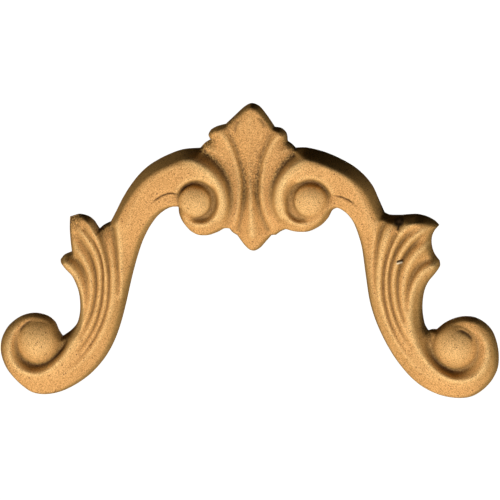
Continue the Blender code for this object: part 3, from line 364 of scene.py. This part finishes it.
RIGHT_LEAF_LINES = {
    "tip notch": [(399.3, 219.4, 0.35), (399, 222.9, 0.44), (398.7, 226.3, 0.54), (398.4, 229.7, 0.64)],
    "inner flute": [(392.5, 224, 0.64), (387.5, 236, 0.78), (383.7, 250, 0.8), (380.7, 267, 0.8),
                    (379.9, 285, 0.8), (381.2, 302, 0.8), (386, 320, 0.8), (393, 337, 0.8),
                    (403, 353, 0.8), (416, 367.5, 0.81), (432, 379, 0.81)],
    "inner flute edge": [(389.5, 224.5, 0.62), (384.5, 233, 0.73), (380.7, 243.5, 0.75),
                         (378, 258, 0.76), (376.5, 275, 0.77), (377.5, 293, 0.76),
                         (381.3, 311, 0.74), (387.5, 329, 0.73), (396, 346, 0.73),
                         (407, 361, 0.73)],
    "leaf crease": [(384.8, 221.5, 0.5), (380.8, 234, 0.54), (377.8, 247, 0.57),
                    (375.8, 262, 0.58), (374.6, 277, 0.61), (375.2, 293, 0.66)],
    "inner groove": [(397, 233, 0.58), (392, 243.5, 0.6), (387.3, 255.5, 0.63),
                     (384, 270, 0.64), (383, 287, 0.65), (384.8, 303, 0.66), (389.6, 321, 0.67),
                     (397.2, 338, 0.73), (408, 354, 0.76)],
    "third flute": [(424, 221, 0.58), (415.5, 222.8, 0.7), (406, 227.8, 0.76),
                    (398.6, 236, 0.795), (393.2, 246.5, 0.79), (389.2, 260, 0.785),
                    (386.8, 277, 0.785), (387.5, 297, 0.785), (392, 316, 0.79),
                    (400, 334, 0.795), (411.5, 351, 0.8), (427, 366.5, 0.81)],
    "third groove": [(416.5, 228.7, 0.62), (409.5, 233.5, 0.6), (404, 239, 0.55),
                     (399.3, 245.5, 0.56), (394.7, 254.5, 0.58), (391, 265.5, 0.61),
                     (389.3, 280, 0.63), (390.5, 299, 0.645), (395, 317, 0.66),
                     (402.5, 333.5, 0.72), (413, 349.5, 0.76)],
    "second flute": [(429, 227.5, 0.52), (420.5, 232.5, 0.7), (411.3, 239.8, 0.775),
                     (404.7, 247.5, 0.78), (399.7, 256, 0.78), (395.7, 267, 0.78),
                     (393.5, 281, 0.785), (394.6, 300, 0.79), (399.5, 318, 0.795),
                     (408, 336.5, 0.805), (420.5, 354, 0.82)],
    "second groove": [(422, 236.3, 0.54), (415, 243, 0.47), (409.5, 249.3, 0.49),
                      (404.7, 256.3, 0.52), (400.8, 264.5, 0.56), (398, 275.5, 0.61),
                      (397.3, 289, 0.65), (399.3, 305, 0.67), (404.5, 321, 0.7)],
    "first flute": [(428.5, 244.5, 0.56), (418.5, 251.5, 0.71), (411.5, 260, 0.75),
                    (407.3, 268.5, 0.765), (404, 279.5, 0.77), (403, 293, 0.775),
                    (404, 308, 0.78), (407, 322, 0.785)],
    "pocket": [(434.5, 258.5, 0.36), (427.5, 260.5, 0.4), (421, 264.5, 0.43), (415.5, 270.5, 0.47),
               (411.3, 279, 0.53), (408.5, 289, 0.6), (407.3, 300, 0.66), (407.8, 311, 0.71)],
    "outer lobe": [(437.5, 264.5, 0.6), (429, 267.8, 0.68), (421.5, 273, 0.72), (415.5, 282, 0.745),
                   (411.3, 294, 0.76), (409.8, 306, 0.77), (410, 318, 0.78), (412, 332, 0.79)],
    "leg slope": [(418, 300, 0.47), (416.8, 314, 0.45), (419, 328, 0.44)],
}
RIGHT_VOLUTE_LINES = {
    "notch": [(432.6, 330.8, 0.14), (432, 335, 0.2), (431.2, 339.5, 0.29), (430.8, 344, 0.38)],
    "rim": [(412, 332, 0.79), (417.5, 347, 0.81), (427, 361, 0.83), (439, 372.5, 0.84),
            (451, 379, 0.84), (464, 380.5, 0.83), (476.5, 376, 0.79), (484.5, 366, 0.71),
            (487.5, 353.5, 0.61), (485.5, 341.5, 0.53), (478.5, 332.5, 0.47), (468.5, 327.3, 0.42),
            (458.5, 326, 0.38)],
    "channel": [(425, 338, 0.42), (428.5, 348, 0.4), (434.5, 358.5, 0.38), (443.5, 366.8, 0.36),
                (454, 371, 0.36), (464.5, 369.7, 0.38), (473.5, 363.5, 0.41), (478, 354, 0.43),
                (477, 344.5, 0.41), (471, 336.3, 0.37), (463, 331.8, 0.33)],
}
LINE_GROUPS = [ARM_LINES, CENTRE_VOLUTE_LINES, PALMETTE_LINES, LEFT_LEAF_LINES, LEFT_VOLUTE_LINES,
               RIGHT_LEAF_LINES, RIGHT_VOLUTE_LINES]

# Round bosses: x and y of the crown, its height as a share of the relief, the radius in the drawing's
# units, the depth from the crown to the foot as a share of the relief, how softly the side runs out (0.5
# makes a half ball and 2 a gentle swell), and the fillet at the foot in metres.
BOSSES = [
    (193, 204.5, 0.997, 16.5, 0.42, 0.5, 0.0008),
    (309.5, 204, 0.997, 17.0, 0.42, 0.5, 0.0008),
    (36, 347, 0.88, 22.0, 0.48, 0.9, 0.001),
    (453.5, 351, 0.88, 22.5, 0.48, 0.9, 0.001),
]


def plan(points):
    """Points of the drawing, x, y and height share, as x, z and height in metres."""
    points = np.asarray(points, dtype=float)
    height = points[:, 2] * RELIEF
    drawn_across = (points[:, 0] - CENTRE[0]) * UNIT
    drawn_up = (CENTRE[1] - points[:, 1]) * UNIT
    across = drawn_across * math.cos(SEEN_TURNED) + drawn_up * math.sin(SEEN_TURNED)
    up = drawn_up * math.cos(SEEN_TURNED) - drawn_across * math.sin(SEEN_TURNED)
    across = (across + height * math.sin(SEEN_FROM_RIGHT)) / math.cos(SEEN_FROM_RIGHT)
    nearness = height * math.cos(SEEN_FROM_RIGHT) + across * math.sin(SEEN_FROM_RIGHT)
    up = (up + nearness * math.sin(SEEN_FROM_ABOVE)) / math.cos(SEEN_FROM_ABOVE)
    return np.column_stack([across, up, height])


def curve(points, step):
    """A smooth curve through the points, sampled about every step metres."""
    points = np.asarray(points, dtype=float)
    first = 2 * points[0] - points[1]
    last = 2 * points[-1] - points[-2]
    knots = np.vstack([first, points, last])
    samples = []
    for a, b, c, d in zip(knots, knots[1:], knots[2:], knots[3:]):
        span = np.linalg.norm((c - b)[:2])
        count = max(1, round(span / step))
        lead = min(1.0, span / max(np.linalg.norm((b - a)[:2]), 1e-9))
        tail = min(1.0, span / max(np.linalg.norm((d - c)[:2]), 1e-9))
        leave = (c - b + (b - a) * lead) / 2
        arrive = (c - b + (d - c) * tail) / 2
        for t in np.arange(count) / count:
            samples.append(
                (2 * t**3 - 3 * t**2 + 1) * b
                + (t**3 - 2 * t**2 + t) * leave
                + (3 * t**2 - 2 * t**3) * c
                + (t**3 - t**2) * arrive
            )
    samples.append(points[-1])
    return np.array(samples)


def outline(step):
    """The back's outline as one loop: x, z and the height of the shoulder there."""
    loop = []
    for stretch in OUTLINE:
        flat = plan([(x, y, 0.0) for x, y, _ in stretch])
        flat[:, 2] = [share * RELIEF for _, _, share in stretch]
        loop.extend(curve(flat, step)[:-1])
    return np.array(loop)


def edge_distance(points, loop):
    """Distance of each point to the outline, negative outside."""
    starts = loop[:, :2]
    runs = np.roll(starts, -1, axis=0) - starts
    lengths = (runs**2).sum(axis=1)
    distance = np.full(len(points), np.inf)
    inside = np.zeros(len(points), dtype=bool)
    x, z = points[:, 0], points[:, 1]
    for start, run, length in zip(starts, runs, lengths):
        t = np.clip(((x - start[0]) * run[0] + (z - start[1]) * run[1]) / length, 0.0, 1.0)
        gap = (x - start[0] - t * run[0]) ** 2 + (z - start[1] - t * run[1]) ** 2
        np.minimum(distance, gap, out=distance)
        crosses = (start[1] > z) != (start[1] + run[1] > z)
        if run[1] != 0.0:
            reach = start[0] + run[0] * (z - start[1]) / run[1]
            inside ^= crosses & (x < reach)
    return np.where(inside, 1.0, -1.0) * np.sqrt(distance)


def blur(field, cells):
    """The field softened by a bell of the given width in cells."""
    reach = max(1, math.ceil(3 * cells))
    bell = np.exp(-0.5 * (np.arange(-reach, reach + 1) / cells) ** 2)
    bell /= bell.sum()
    for axis in (0, 1):
        padded = np.pad(field, [(reach, reach) if a == axis else (0, 0) for a in (0, 1)], mode="edge")
        field = sum(
            weight * np.take(padded, range(k, k + field.shape[axis]), axis=axis)
            for k, weight in enumerate(bell)
        )
    return field


def between(field, rows, columns):
    """Values of a grid at places between its points."""
    rows, columns = np.broadcast_arrays(rows, columns)
    i = np.clip(np.floor(rows).astype(int), 0, field.shape[0] - 2)
    j = np.clip(np.floor(columns).astype(int), 0, field.shape[1] - 2)
    u = rows - i
    v = columns - j
    lower = field[i, j] * (1 - u) + field[i + 1, j] * u
    upper = field[i, j + 1] * (1 - u) + field[i + 1, j + 1] * u
    return lower * (1 - v) + upper * v


def soft_min(a, b, softness):
    """The lower of two surfaces, with the edge between them rounded."""
    return (a + b - np.sqrt((a - b) ** 2 + softness**2)) / 2


def soft_max(a, b, softness):
    """The higher of two surfaces, with the corner between them filled."""
    return -soft_min(-a, -b, softness)


class Skin:
    """The front's surface: a skin over the ridges, grooves and the outline's shoulder."""

    def __init__(self, cell):
        loop = outline(cell / 2)
        lines = [curve(plan(line), cell / 2) for group in LINE_GROUPS for line in group.values()]
        held = np.vstack([loop] + lines)
        margin = SKIN_MARGIN * cell
        self.cell = cell
        self.low = loop[:, :2].min(axis=0) - margin
        span = loop[:, :2].max(axis=0) + margin - self.low
        field = None
        level = COARSEST
        while level >= 1:
            size = cell * level
            shape = tuple(int(n) for n in np.ceil(span / size) + 2)
            field = self.stretch(held, size, shape, field)
            level //= 2
        self.field = blur(field, LINE_SOFTNESS / cell)

    def stretch(self, held, size, shape, coarse):
        """Relaxes the skin on a grid, starting from the coarser grid's result."""
        pull = np.zeros(shape)
        goal = np.zeros(shape)
        place = (held[:, :2] - self.low) / size
        corner = np.floor(place).astype(int)
        part = place - corner
        for i in (0, 1):
            for j in (0, 1):
                weight = np.abs(1 - i - part[:, 0]) * np.abs(1 - j - part[:, 1])
                np.add.at(pull, (corner[:, 0] + i, corner[:, 1] + j), weight)
                np.add.at(goal, (corner[:, 0] + i, corner[:, 1] + j), weight * held[:, 2])
        if coarse is None:
            field = np.full(shape, held[:, 2].mean())
        else:
            rows = np.minimum(np.arange(shape[0]) / 2, coarse.shape[0] - 1.001)
            columns = np.minimum(np.arange(shape[1]) / 2, coarse.shape[1] - 1.001)
            field = between(coarse, rows[:, None], columns[None, :])
        swell = CROWN * size**2
        parity = np.add.outer(np.arange(shape[0]), np.arange(shape[1])) % 2
        weight = 4 + STIFFNESS * pull
        for _ in range(SWEEPS):
            for colour in (0, 1):
                padded = np.pad(field, 1, mode="edge")
                around = padded[:-2, 1:-1] + padded[2:, 1:-1] + padded[1:-1, :-2] + padded[1:-1, 2:]
                target = (around + swell + STIFFNESS * goal) / weight
                field = np.where(parity == colour, field + STEP_SHARE * (target - field), field)
        return field

    def __call__(self, points):
        place = (points - self.low) / self.cell
        return between(self.field, place[:, 0], place[:, 1])


def carved(points, skin):
    """Height of the carving at each point of the plan, before the side walls cut it off."""
    surface = skin(points)
    for x, y, share, radius, depth_share, run_out, fillet in BOSSES:
        across, up, crown = plan([(x, y, share)])[0]
        reach = np.hypot(points[:, 0] - across, points[:, 1] - up) / (radius * UNIT)
        fall = 1 - np.clip(1 - reach**2, 0.0, None) ** run_out
        fall += np.clip(reach - 1, 0.0, None)
        dome = crown - depth_share * RELIEF * fall
        surface = soft_max(surface, dome, fillet)
    return surface


def heights(points, distance, skin):
    """Height of the front over the back at each point of the plan."""
    wall = LAND + np.clip(distance, 0.0, None) / math.tan(DRAFT)
    front = soft_min(carved(points, skin), wall, 2 * SHOULDER_ROUND)
    return np.maximum(front, LAND / 2)


# The fine lines that the carver's gouge left, the notch at the right leaf's tip and the nick that damaged
# that leaf: x and y along the cut, the height share of the front there, and the cut's depth and half width
# in metres. The colour paints shade into every cut, nearly black, which makes the dark wedge of the notch.
CUTS = {
    "left arm gouge": ([(150, 204), (156, 199.5), (162, 195.8), (168.5, 193.6), (175, 194),
                        (180, 197.5)], 0.79, 0.0006, 0.00027),
    "right arm gouge": ([(332, 195.5), (341, 197), (350, 201), (356, 206)], 0.79, 0.0006, 0.00027),
    "palmette left mark": ([(240, 120.5), (236.5, 124.5), (235, 129.5), (235.7, 134.5)], 0.38,
                           0.0003, 0.0005),
    "palmette right mark": ([(257.5, 117), (261, 120), (263.5, 124), (264.7, 128.5)], 0.4,
                            0.0003, 0.0005),
    "right volute crease": ([(457, 329), (462, 330), (466.5, 332.3), (470.5, 335.8), (473, 340)], 0.4,
                            0.0006, 0.0004),
    "left volute crease": ([(33, 320), (27.5, 322.5), (22.5, 327), (19.5, 332)], 0.36, 0.0005, 0.0004),
    "notch mouth": ([(394, 221.5), (396.3, 222.8), (398.7, 223.6), (401, 222.8), (404, 221.2)], 0.52,
                    0.001, 0.00075),
    "notch foot": ([(398.7, 223.5), (398.4, 227), (398.1, 230.5)], 0.56, 0.0007, 0.00036),
    "nick": ([(397.3, 261.4), (399.6, 261.9), (401.9, 261.4)], 0.72, 0.0012, 0.0004),
}
CUT_REACH = 3  # half widths from the line at which a cut has run out
RUN_OUT = 4  # a cut runs out over one part in so many of its length, at either end

# The pale sliver that the nick laid bare below it: its place in the drawing with its height share, and
# its half sizes in metres.
CHIP = (399.2, 263.6, 0.72)
CHIP_HALF_LENGTH = 0.00085
CHIP_HALF_HEIGHT = 0.0003

# The leaves' grooves end in a sharp bottom, so deep and so wide in metres.
GROOVES = ("inner groove", "third groove", "second groove")
GROOVE_CUT_DEPTH = 0.00026
GROOVE_CUT_HALF_WIDTH = 0.00036


def cut_depth(points):
    """How deep the fine cuts go at each point of the plan."""
    cuts = [
        ([(x, y, share) for x, y in line], depth, width) for line, share, depth, width in CUTS.values()
    ]
    for leaf in (LEFT_LEAF_LINES, RIGHT_LEAF_LINES):
        cuts += [(leaf[name], GROOVE_CUT_DEPTH, GROOVE_CUT_HALF_WIDTH) for name in GROOVES]
    depth = np.zeros(len(points))
    for line, deepest, half_width in cuts:
        path = curve(plan(line), FINE / 2)[:, :2]
        tree = KDTree(len(path))
        for index, point in enumerate(path):
            tree.insert((point[0], point[1], 0.0), index)
        tree.balance()
        low = path.min(axis=0) - CUT_REACH * half_width
        high = path.max(axis=0) + CUT_REACH * half_width
        near = np.nonzero(((points > low) & (points < high)).all(axis=1))[0]
        for index in near:
            _, along, gap = tree.find((points[index, 0], points[index, 1], 0.0))
            end_share = min(1.0, RUN_OUT * min(along + 1, len(path) - along) / len(path))
            bite = deepest * end_share * math.exp(-((gap / half_width) ** 2))
            depth[index] = max(depth[index], bite)
    return depth


def spread(points, loop, gap, margin):
    """The points that lie inside the outline by the margin and clear of the points before them."""
    points = points[edge_distance(points, loop) > margin]
    tree = KDTree(len(points))
    for index, point in enumerate(points):
        tree.insert((point[0], point[1], 0.0), index)
    tree.balance()
    kept = np.ones(len(points), dtype=bool)
    for index, point in enumerate(points):
        if kept[index]:
            for _, other, _ in tree.find_range((point[0], point[1], 0.0), gap):
                if other > index:
                    kept[other] = False
    return points[kept]


def front_points(loop):
    """Plan points of the front: even rings down the wall and over its shoulder, then an even field."""
    ahead = np.roll(loop, -1, axis=0)[:, :2] - np.roll(loop, 1, axis=0)[:, :2]
    ahead /= np.linalg.norm(ahead, axis=1)[:, None]
    inward = np.column_stack([ahead[:, 1], -ahead[:, 0]])
    chosen = []
    for inset in np.arange(RING_STEP, RINGS_WIDTH, RING_STEP):
        ring = loop[:, :2] + inward * inset
        chosen.append(ring[edge_distance(ring, loop) > inset - RING_STEP * RING_SLACK])
    low = loop[:, :2].min(axis=0)
    high = loop[:, :2].max(axis=0)
    row_step = FINE * math.sqrt(3) / 2
    for row, up in enumerate(np.arange(low[1], high[1], row_step)):
        start = low[0] + (row % 2) * FINE / 2
        across = np.arange(start, high[0], FINE)
        chosen.append(np.column_stack([across, np.full(len(across), up)]))
    return spread(np.vstack(chosen), loop, FINE * CLOSEST, RING_STEP / 2)


# Fineness of the mesh, in metres: the field's spacing, the spacing and width of the rings along the
# edge, and the grid on which the skin is worked out.
FINE = 0.00036
RING_STEP = 0.00024
RINGS_WIDTH = 0.0022
FINE_CELL = 0.0003
CLOSEST = 0.6  # least gap between two points, as a share of the field's spacing
RING_SLACK = 0.125  # how much nearer to the edge a ring may run, as a share of the rings' spacing
SAME_POINT = 1e-7  # points nearer than this are one

loop = outline(FINE)
plan_points = np.vstack([loop[:, :2], front_points(loop)])
rim_count = len(loop)
rim = [(i, (i + 1) % rim_count) for i in range(rim_count)]
flat, _, faces, *_ = delaunay_2d_cdt([Vector(p) for p in plan_points.tolist()], rim, [], 1, SAME_POINT)
flat = np.array([tuple(v) for v in flat])
inset = edge_distance(flat, loop)
skin = Skin(FINE_CELL)
cut = cut_depth(flat)
lift = heights(flat, inset, skin) - cut
lift[:rim_count] = LAND

# The casting's own unevenness: slow waves and a finer ripple, both under a tenth of a millimetre.
WAVE_HEIGHT = 0.00006
WAVES_PER_METRE = 260.0
RIPPLE_HEIGHT = 0.00003
RIPPLES_PER_METRE = 1100.0
for index in range(rim_count, len(flat)):
    spot = Vector((flat[index, 0], lift[index], flat[index, 1]))
    wave = WAVE_HEIGHT * noise.noise(spot * WAVES_PER_METRE)
    ripple = RIPPLE_HEIGHT * noise.noise(spot * RIPPLES_PER_METRE)
    lift[index] += wave + ripple

# The straight sides of the CAD part's outline cut a hair off its curves; nothing may stand past them.
lowest, highest = np.array(cad_box)
flat = np.clip(flat, lowest[[0, 2]], highest[[0, 2]])
lift = np.minimum(lift, -lowest[1])

# The mesh: the front, the square edge and the flat back, smooth but for the corners.
SMOOTH_BELOW = math.radians(60)
mesh = bpy.data.meshes.new("onlay")
front = [(x, -y, z) for (x, z), y in zip(flat.tolist(), lift.tolist())]
edge_of_back = [(x, 0.0, z) for x, z in flat[:rim_count].tolist()]
middle_of_back = len(front)
sides = [(a, b, middle_of_back + b, middle_of_back + a) for a, b in rim]
_, _, back_faces, *_ = delaunay_2d_cdt(
    [Vector((x, z)) for x, _, z in edge_of_back], rim, [], 1, SAME_POINT
)
mesh.from_pydata(
    front + edge_of_back,
    [],
    [list(face) for face in faces]
    + sides
    + [[middle_of_back + i for i in reversed(face)] for face in back_faces],
)
mesh.validate()
onlay = bpy.data.objects.new("onlay", mesh)
bpy.context.scene.collection.objects.link(onlay)
bpy.ops.object.select_all(action="DESELECT")
bpy.context.view_layer.objects.active = onlay
onlay.select_set(True)
bpy.ops.object.mode_set(mode="EDIT")
bpy.ops.mesh.select_all(action="SELECT")
bpy.ops.mesh.normals_make_consistent(inside=False)
bpy.ops.object.mode_set(mode="OBJECT")
bpy.ops.object.shade_smooth_by_angle(angle=SMOOTH_BELOW)

# Facts about each point for the colour: how deep it is cut, how low it lies, how far it is sunk against
# its near and its wider surroundings, whether it is chipped, and how steep it is. The cut, sunk, raised
# and steep places steer painted shade and painted highlight. Each of the two surroundings has its width
# and the depth that counts as one, in metres.
# A cut's colour is painted shade, darker the deeper the cut, nearly black in full.
CUT_SHOWS = 0.0006  # depth at which a cut shows in full
LOW_FROM = 0.42  # share of the relief below which the front counts as low
LOW_SPAN = 0.18  # how much further down it counts in full
SURROUNDINGS = (("groove", 0.0009, 0.0005), ("hollow", 0.003, 0.002))
columns, rows = np.meshgrid(np.arange(skin.field.shape[1]), np.arange(skin.field.shape[0]))
grid_points = skin.low + np.column_stack([rows.ravel(), columns.ravel()]) * FINE_CELL
relief = carved(grid_points, skin).reshape(skin.field.shape)
place = (flat - skin.low) / FINE_CELL
own = between(relief, place[:, 0], place[:, 1])
sinking = {"cut": cut / CUT_SHOWS, "low": (LOW_FROM * RELIEF - own) / (LOW_SPAN * RELIEF)}
for name, width, depth in SURROUNDINGS:
    around = blur(relief, width / FINE_CELL)
    sinking[name] = (between(around, place[:, 0], place[:, 1]) - own) / depth
chip = plan([CHIP])[0]
sinking["chip"] = 1 - np.hypot(
    (flat[:, 0] - chip[0]) / CHIP_HALF_LENGTH, (flat[:, 1] - chip[1]) / CHIP_HALF_HEIGHT
)
# steep: 0 where the front faces straight out, 1 on a side wall; it steers a painted shade, olive brown on
# the walls and steep slopes.
sinking["steep"] = 1 + np.array([mesh.vertex_normals[i].vector.y for i in range(len(flat))])
for name, sunk in sinking.items():
    sunk = np.concatenate([sunk, np.zeros(rim_count)])
    attribute = mesh.attributes.new(name, "FLOAT", "POINT")
    attribute.data.foreach_set("value", sunk.astype(np.float32))

# The composite: wood flour and resin, pressed and unpainted. Tan with an orange cast, and a fine grain of
# pale and dark flour with some dark specks. Painted into the colour: painted shade, olive brown in the
# hollows, grooves and on the steep walls and nearly black in the cuts and deepest grooves, and a painted
# highlight, paler on the crests.
CLOUDS_PER_METRE = 70.0
GRAINS_PER_METRE = 2800.0
COARSE_GRAINS_PER_METRE = 1500.0
SPECKS_PER_METRE = 900.0
SPECK_GROUPS_PER_METRE = 700.0
SPECK_BROWN = (0.20, 0.085, 0.03)
PORES_PER_METRE = 2200.0
PORE_DEPTH = 0.00025

material = bpy.data.materials.new("moulded wood composite")
material.use_nodes = True
nodes = material.node_tree.nodes
links = material.node_tree.links
surface = nodes["Principled BSDF"]
surface.inputs["Roughness"].default_value = 0.72
surface.inputs["Specular IOR Level"].default_value = 0.25
where = nodes.new("ShaderNodeTexCoord")


def noise_at(scale, detail, roughness):
    """Noise on the object's coordinates."""
    made = nodes.new("ShaderNodeTexNoise")
    made.inputs["Scale"].default_value = scale
    made.inputs["Detail"].default_value = detail
    made.inputs["Roughness"].default_value = roughness
    links.new(where.outputs["Object"], made.inputs["Vector"])
    return made.outputs["Fac"]


def ramp(value, stops):
    """A colour ramp over the value: stops of place and colour."""
    made = nodes.new("ShaderNodeValToRGB")
    elements = made.color_ramp.elements
    while len(elements) < len(stops):
        elements.new(0.5)
    for element, (place, colour) in zip(elements, stops):
        element.position = place
        element.color = (*colour, 1.0)
    links.new(value, made.inputs["Fac"])
    return made.outputs["Color"]


def mixed(kind, share, below, above):
    """Two colours mixed by a share, which is a number or a socket."""
    made = nodes.new("ShaderNodeMix")
    made.data_type = "RGBA"
    made.blend_type = kind
    factor, a, b = made.inputs[0], made.inputs[6], made.inputs[7]
    for socket, value in ((factor, share), (a, below), (b, above)):
        if hasattr(value, "is_linked"):
            links.new(value, socket)
        elif isinstance(value, float):
            socket.default_value = value
        else:
            socket.default_value = (*value, 1.0)
    return made.outputs[2]


def in_range(value, low, high, most=1.0):
    """The value's share of the way from low to high, times most."""
    made = nodes.new("ShaderNodeMapRange")
    made.inputs["To Max"].default_value = most
    made.inputs["From Min"].default_value = low
    made.inputs["From Max"].default_value = high
    links.new(value, made.inputs["Value"])
    return made.outputs["Result"]


def surface_fact(name):
    """A value that the mesh holds for each point."""
    made = nodes.new("ShaderNodeAttribute")
    made.attribute_name = name
    return made.outputs["Fac"]


# Each tint's fact, the values between which it comes in, its greatest share and its colour. All but the
# chip's are painted shade, painted shadow or painted highlight.
SHADES = (
    # Painted shade: olive brown on the side walls and steep slopes.
    ("steep", 0.12, 0.7, 0.5, (0.40, 0.26, 0.075)),
    # Painted shade: olive brown where the front lies sunk against its wider and its near surroundings, in
    # hollows and grooves.
    ("hollow", 0.3, 1.5, 0.25, (0.26, 0.17, 0.05)),
    ("groove", 0.08, 1.1, 0.65, (0.24, 0.14, 0.042)),
    # Painted shadow: nearly black where the front lies far below its near surroundings, as in the grooves
    # round the middle bosses.
    ("groove", 1.2, 2.4, 0.7, (0.07, 0.026, 0.008)),
    # Painted highlight: paler where the front stands above its near and its wider surroundings, on crests
    # and crowns.
    ("groove", -0.1, -0.8, 0.45, (0.87, 0.56, 0.23)),
    ("hollow", -0.15, -1.3, 0.55, (0.87, 0.57, 0.24)),
    # Painted shade: the cuts nearly black.
    ("cut", 0.05, 0.9, 0.92, (0.05, 0.026, 0.01)),
    ("chip", -0.4, 0.3, 0.9, (0.95, 0.86, 0.66)),
)
colour = ramp(noise_at(CLOUDS_PER_METRE, 3.0, 0.5), [(0.3, (0.60, 0.31, 0.10)), (0.7, (0.67, 0.35, 0.118))])
for name, least, most, share, shade in SHADES:
    colour = mixed("MIX", in_range(surface_fact(name), least, most, share), colour, shade)
grain = ramp(
    noise_at(GRAINS_PER_METRE, 2.0, 0.7),
    [(0.34, (0.42, 0.34, 0.25)), (0.5, (1.0, 1.0, 1.0)), (0.66, (1.35, 1.42, 1.55))],
)
colour = mixed("MULTIPLY", 0.8, colour, grain)
coarse = ramp(
    noise_at(COARSE_GRAINS_PER_METRE, 2.0, 0.8),
    [(0.4, (0.2, 0.17, 0.13)), (0.53, (0.92, 0.92, 0.88)), (0.68, (1.45, 1.5, 1.5))],
)
colour = mixed("MULTIPLY", in_range(surface_fact("low"), 0.0, 1.0, 0.8), colour, coarse)
colour = mixed("MULTIPLY", in_range(surface_fact("hollow"), 0.4, 1.3, 0.5), colour, coarse)
specks = nodes.new("ShaderNodeTexVoronoi")
specks.inputs["Scale"].default_value = SPECKS_PER_METRE
links.new(where.outputs["Object"], specks.inputs["Vector"])
speck = ramp(specks.outputs["Distance"], [(0.16, (1.0, 1.0, 1.0)), (0.26, (0.0, 0.0, 0.0))])
speck_here = ramp(
    noise_at(SPECK_GROUPS_PER_METRE, 1.0, 0.5), [(0.56, (0.0, 0.0, 0.0)), (0.62, (1.0, 1.0, 1.0))]
)
speck_share = mixed("MULTIPLY", 1.0, speck, speck_here)
colour = mixed("MIX", speck_share, colour, SPECK_BROWN)
links.new(colour, surface.inputs["Base Color"])

bump = nodes.new("ShaderNodeBump")
bump.inputs["Strength"].default_value = 0.5
bump.inputs["Distance"].default_value = PORE_DEPTH
links.new(noise_at(PORES_PER_METRE, 4.0, 0.65), bump.inputs["Height"])
links.new(bump.outputs["Normal"], surface.inputs["Normal"])
mesh.materials.append(material)

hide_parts("frieze_onlay")
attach(onlay, "root")

bpy.context.scene.view_settings.view_transform = "Standard"
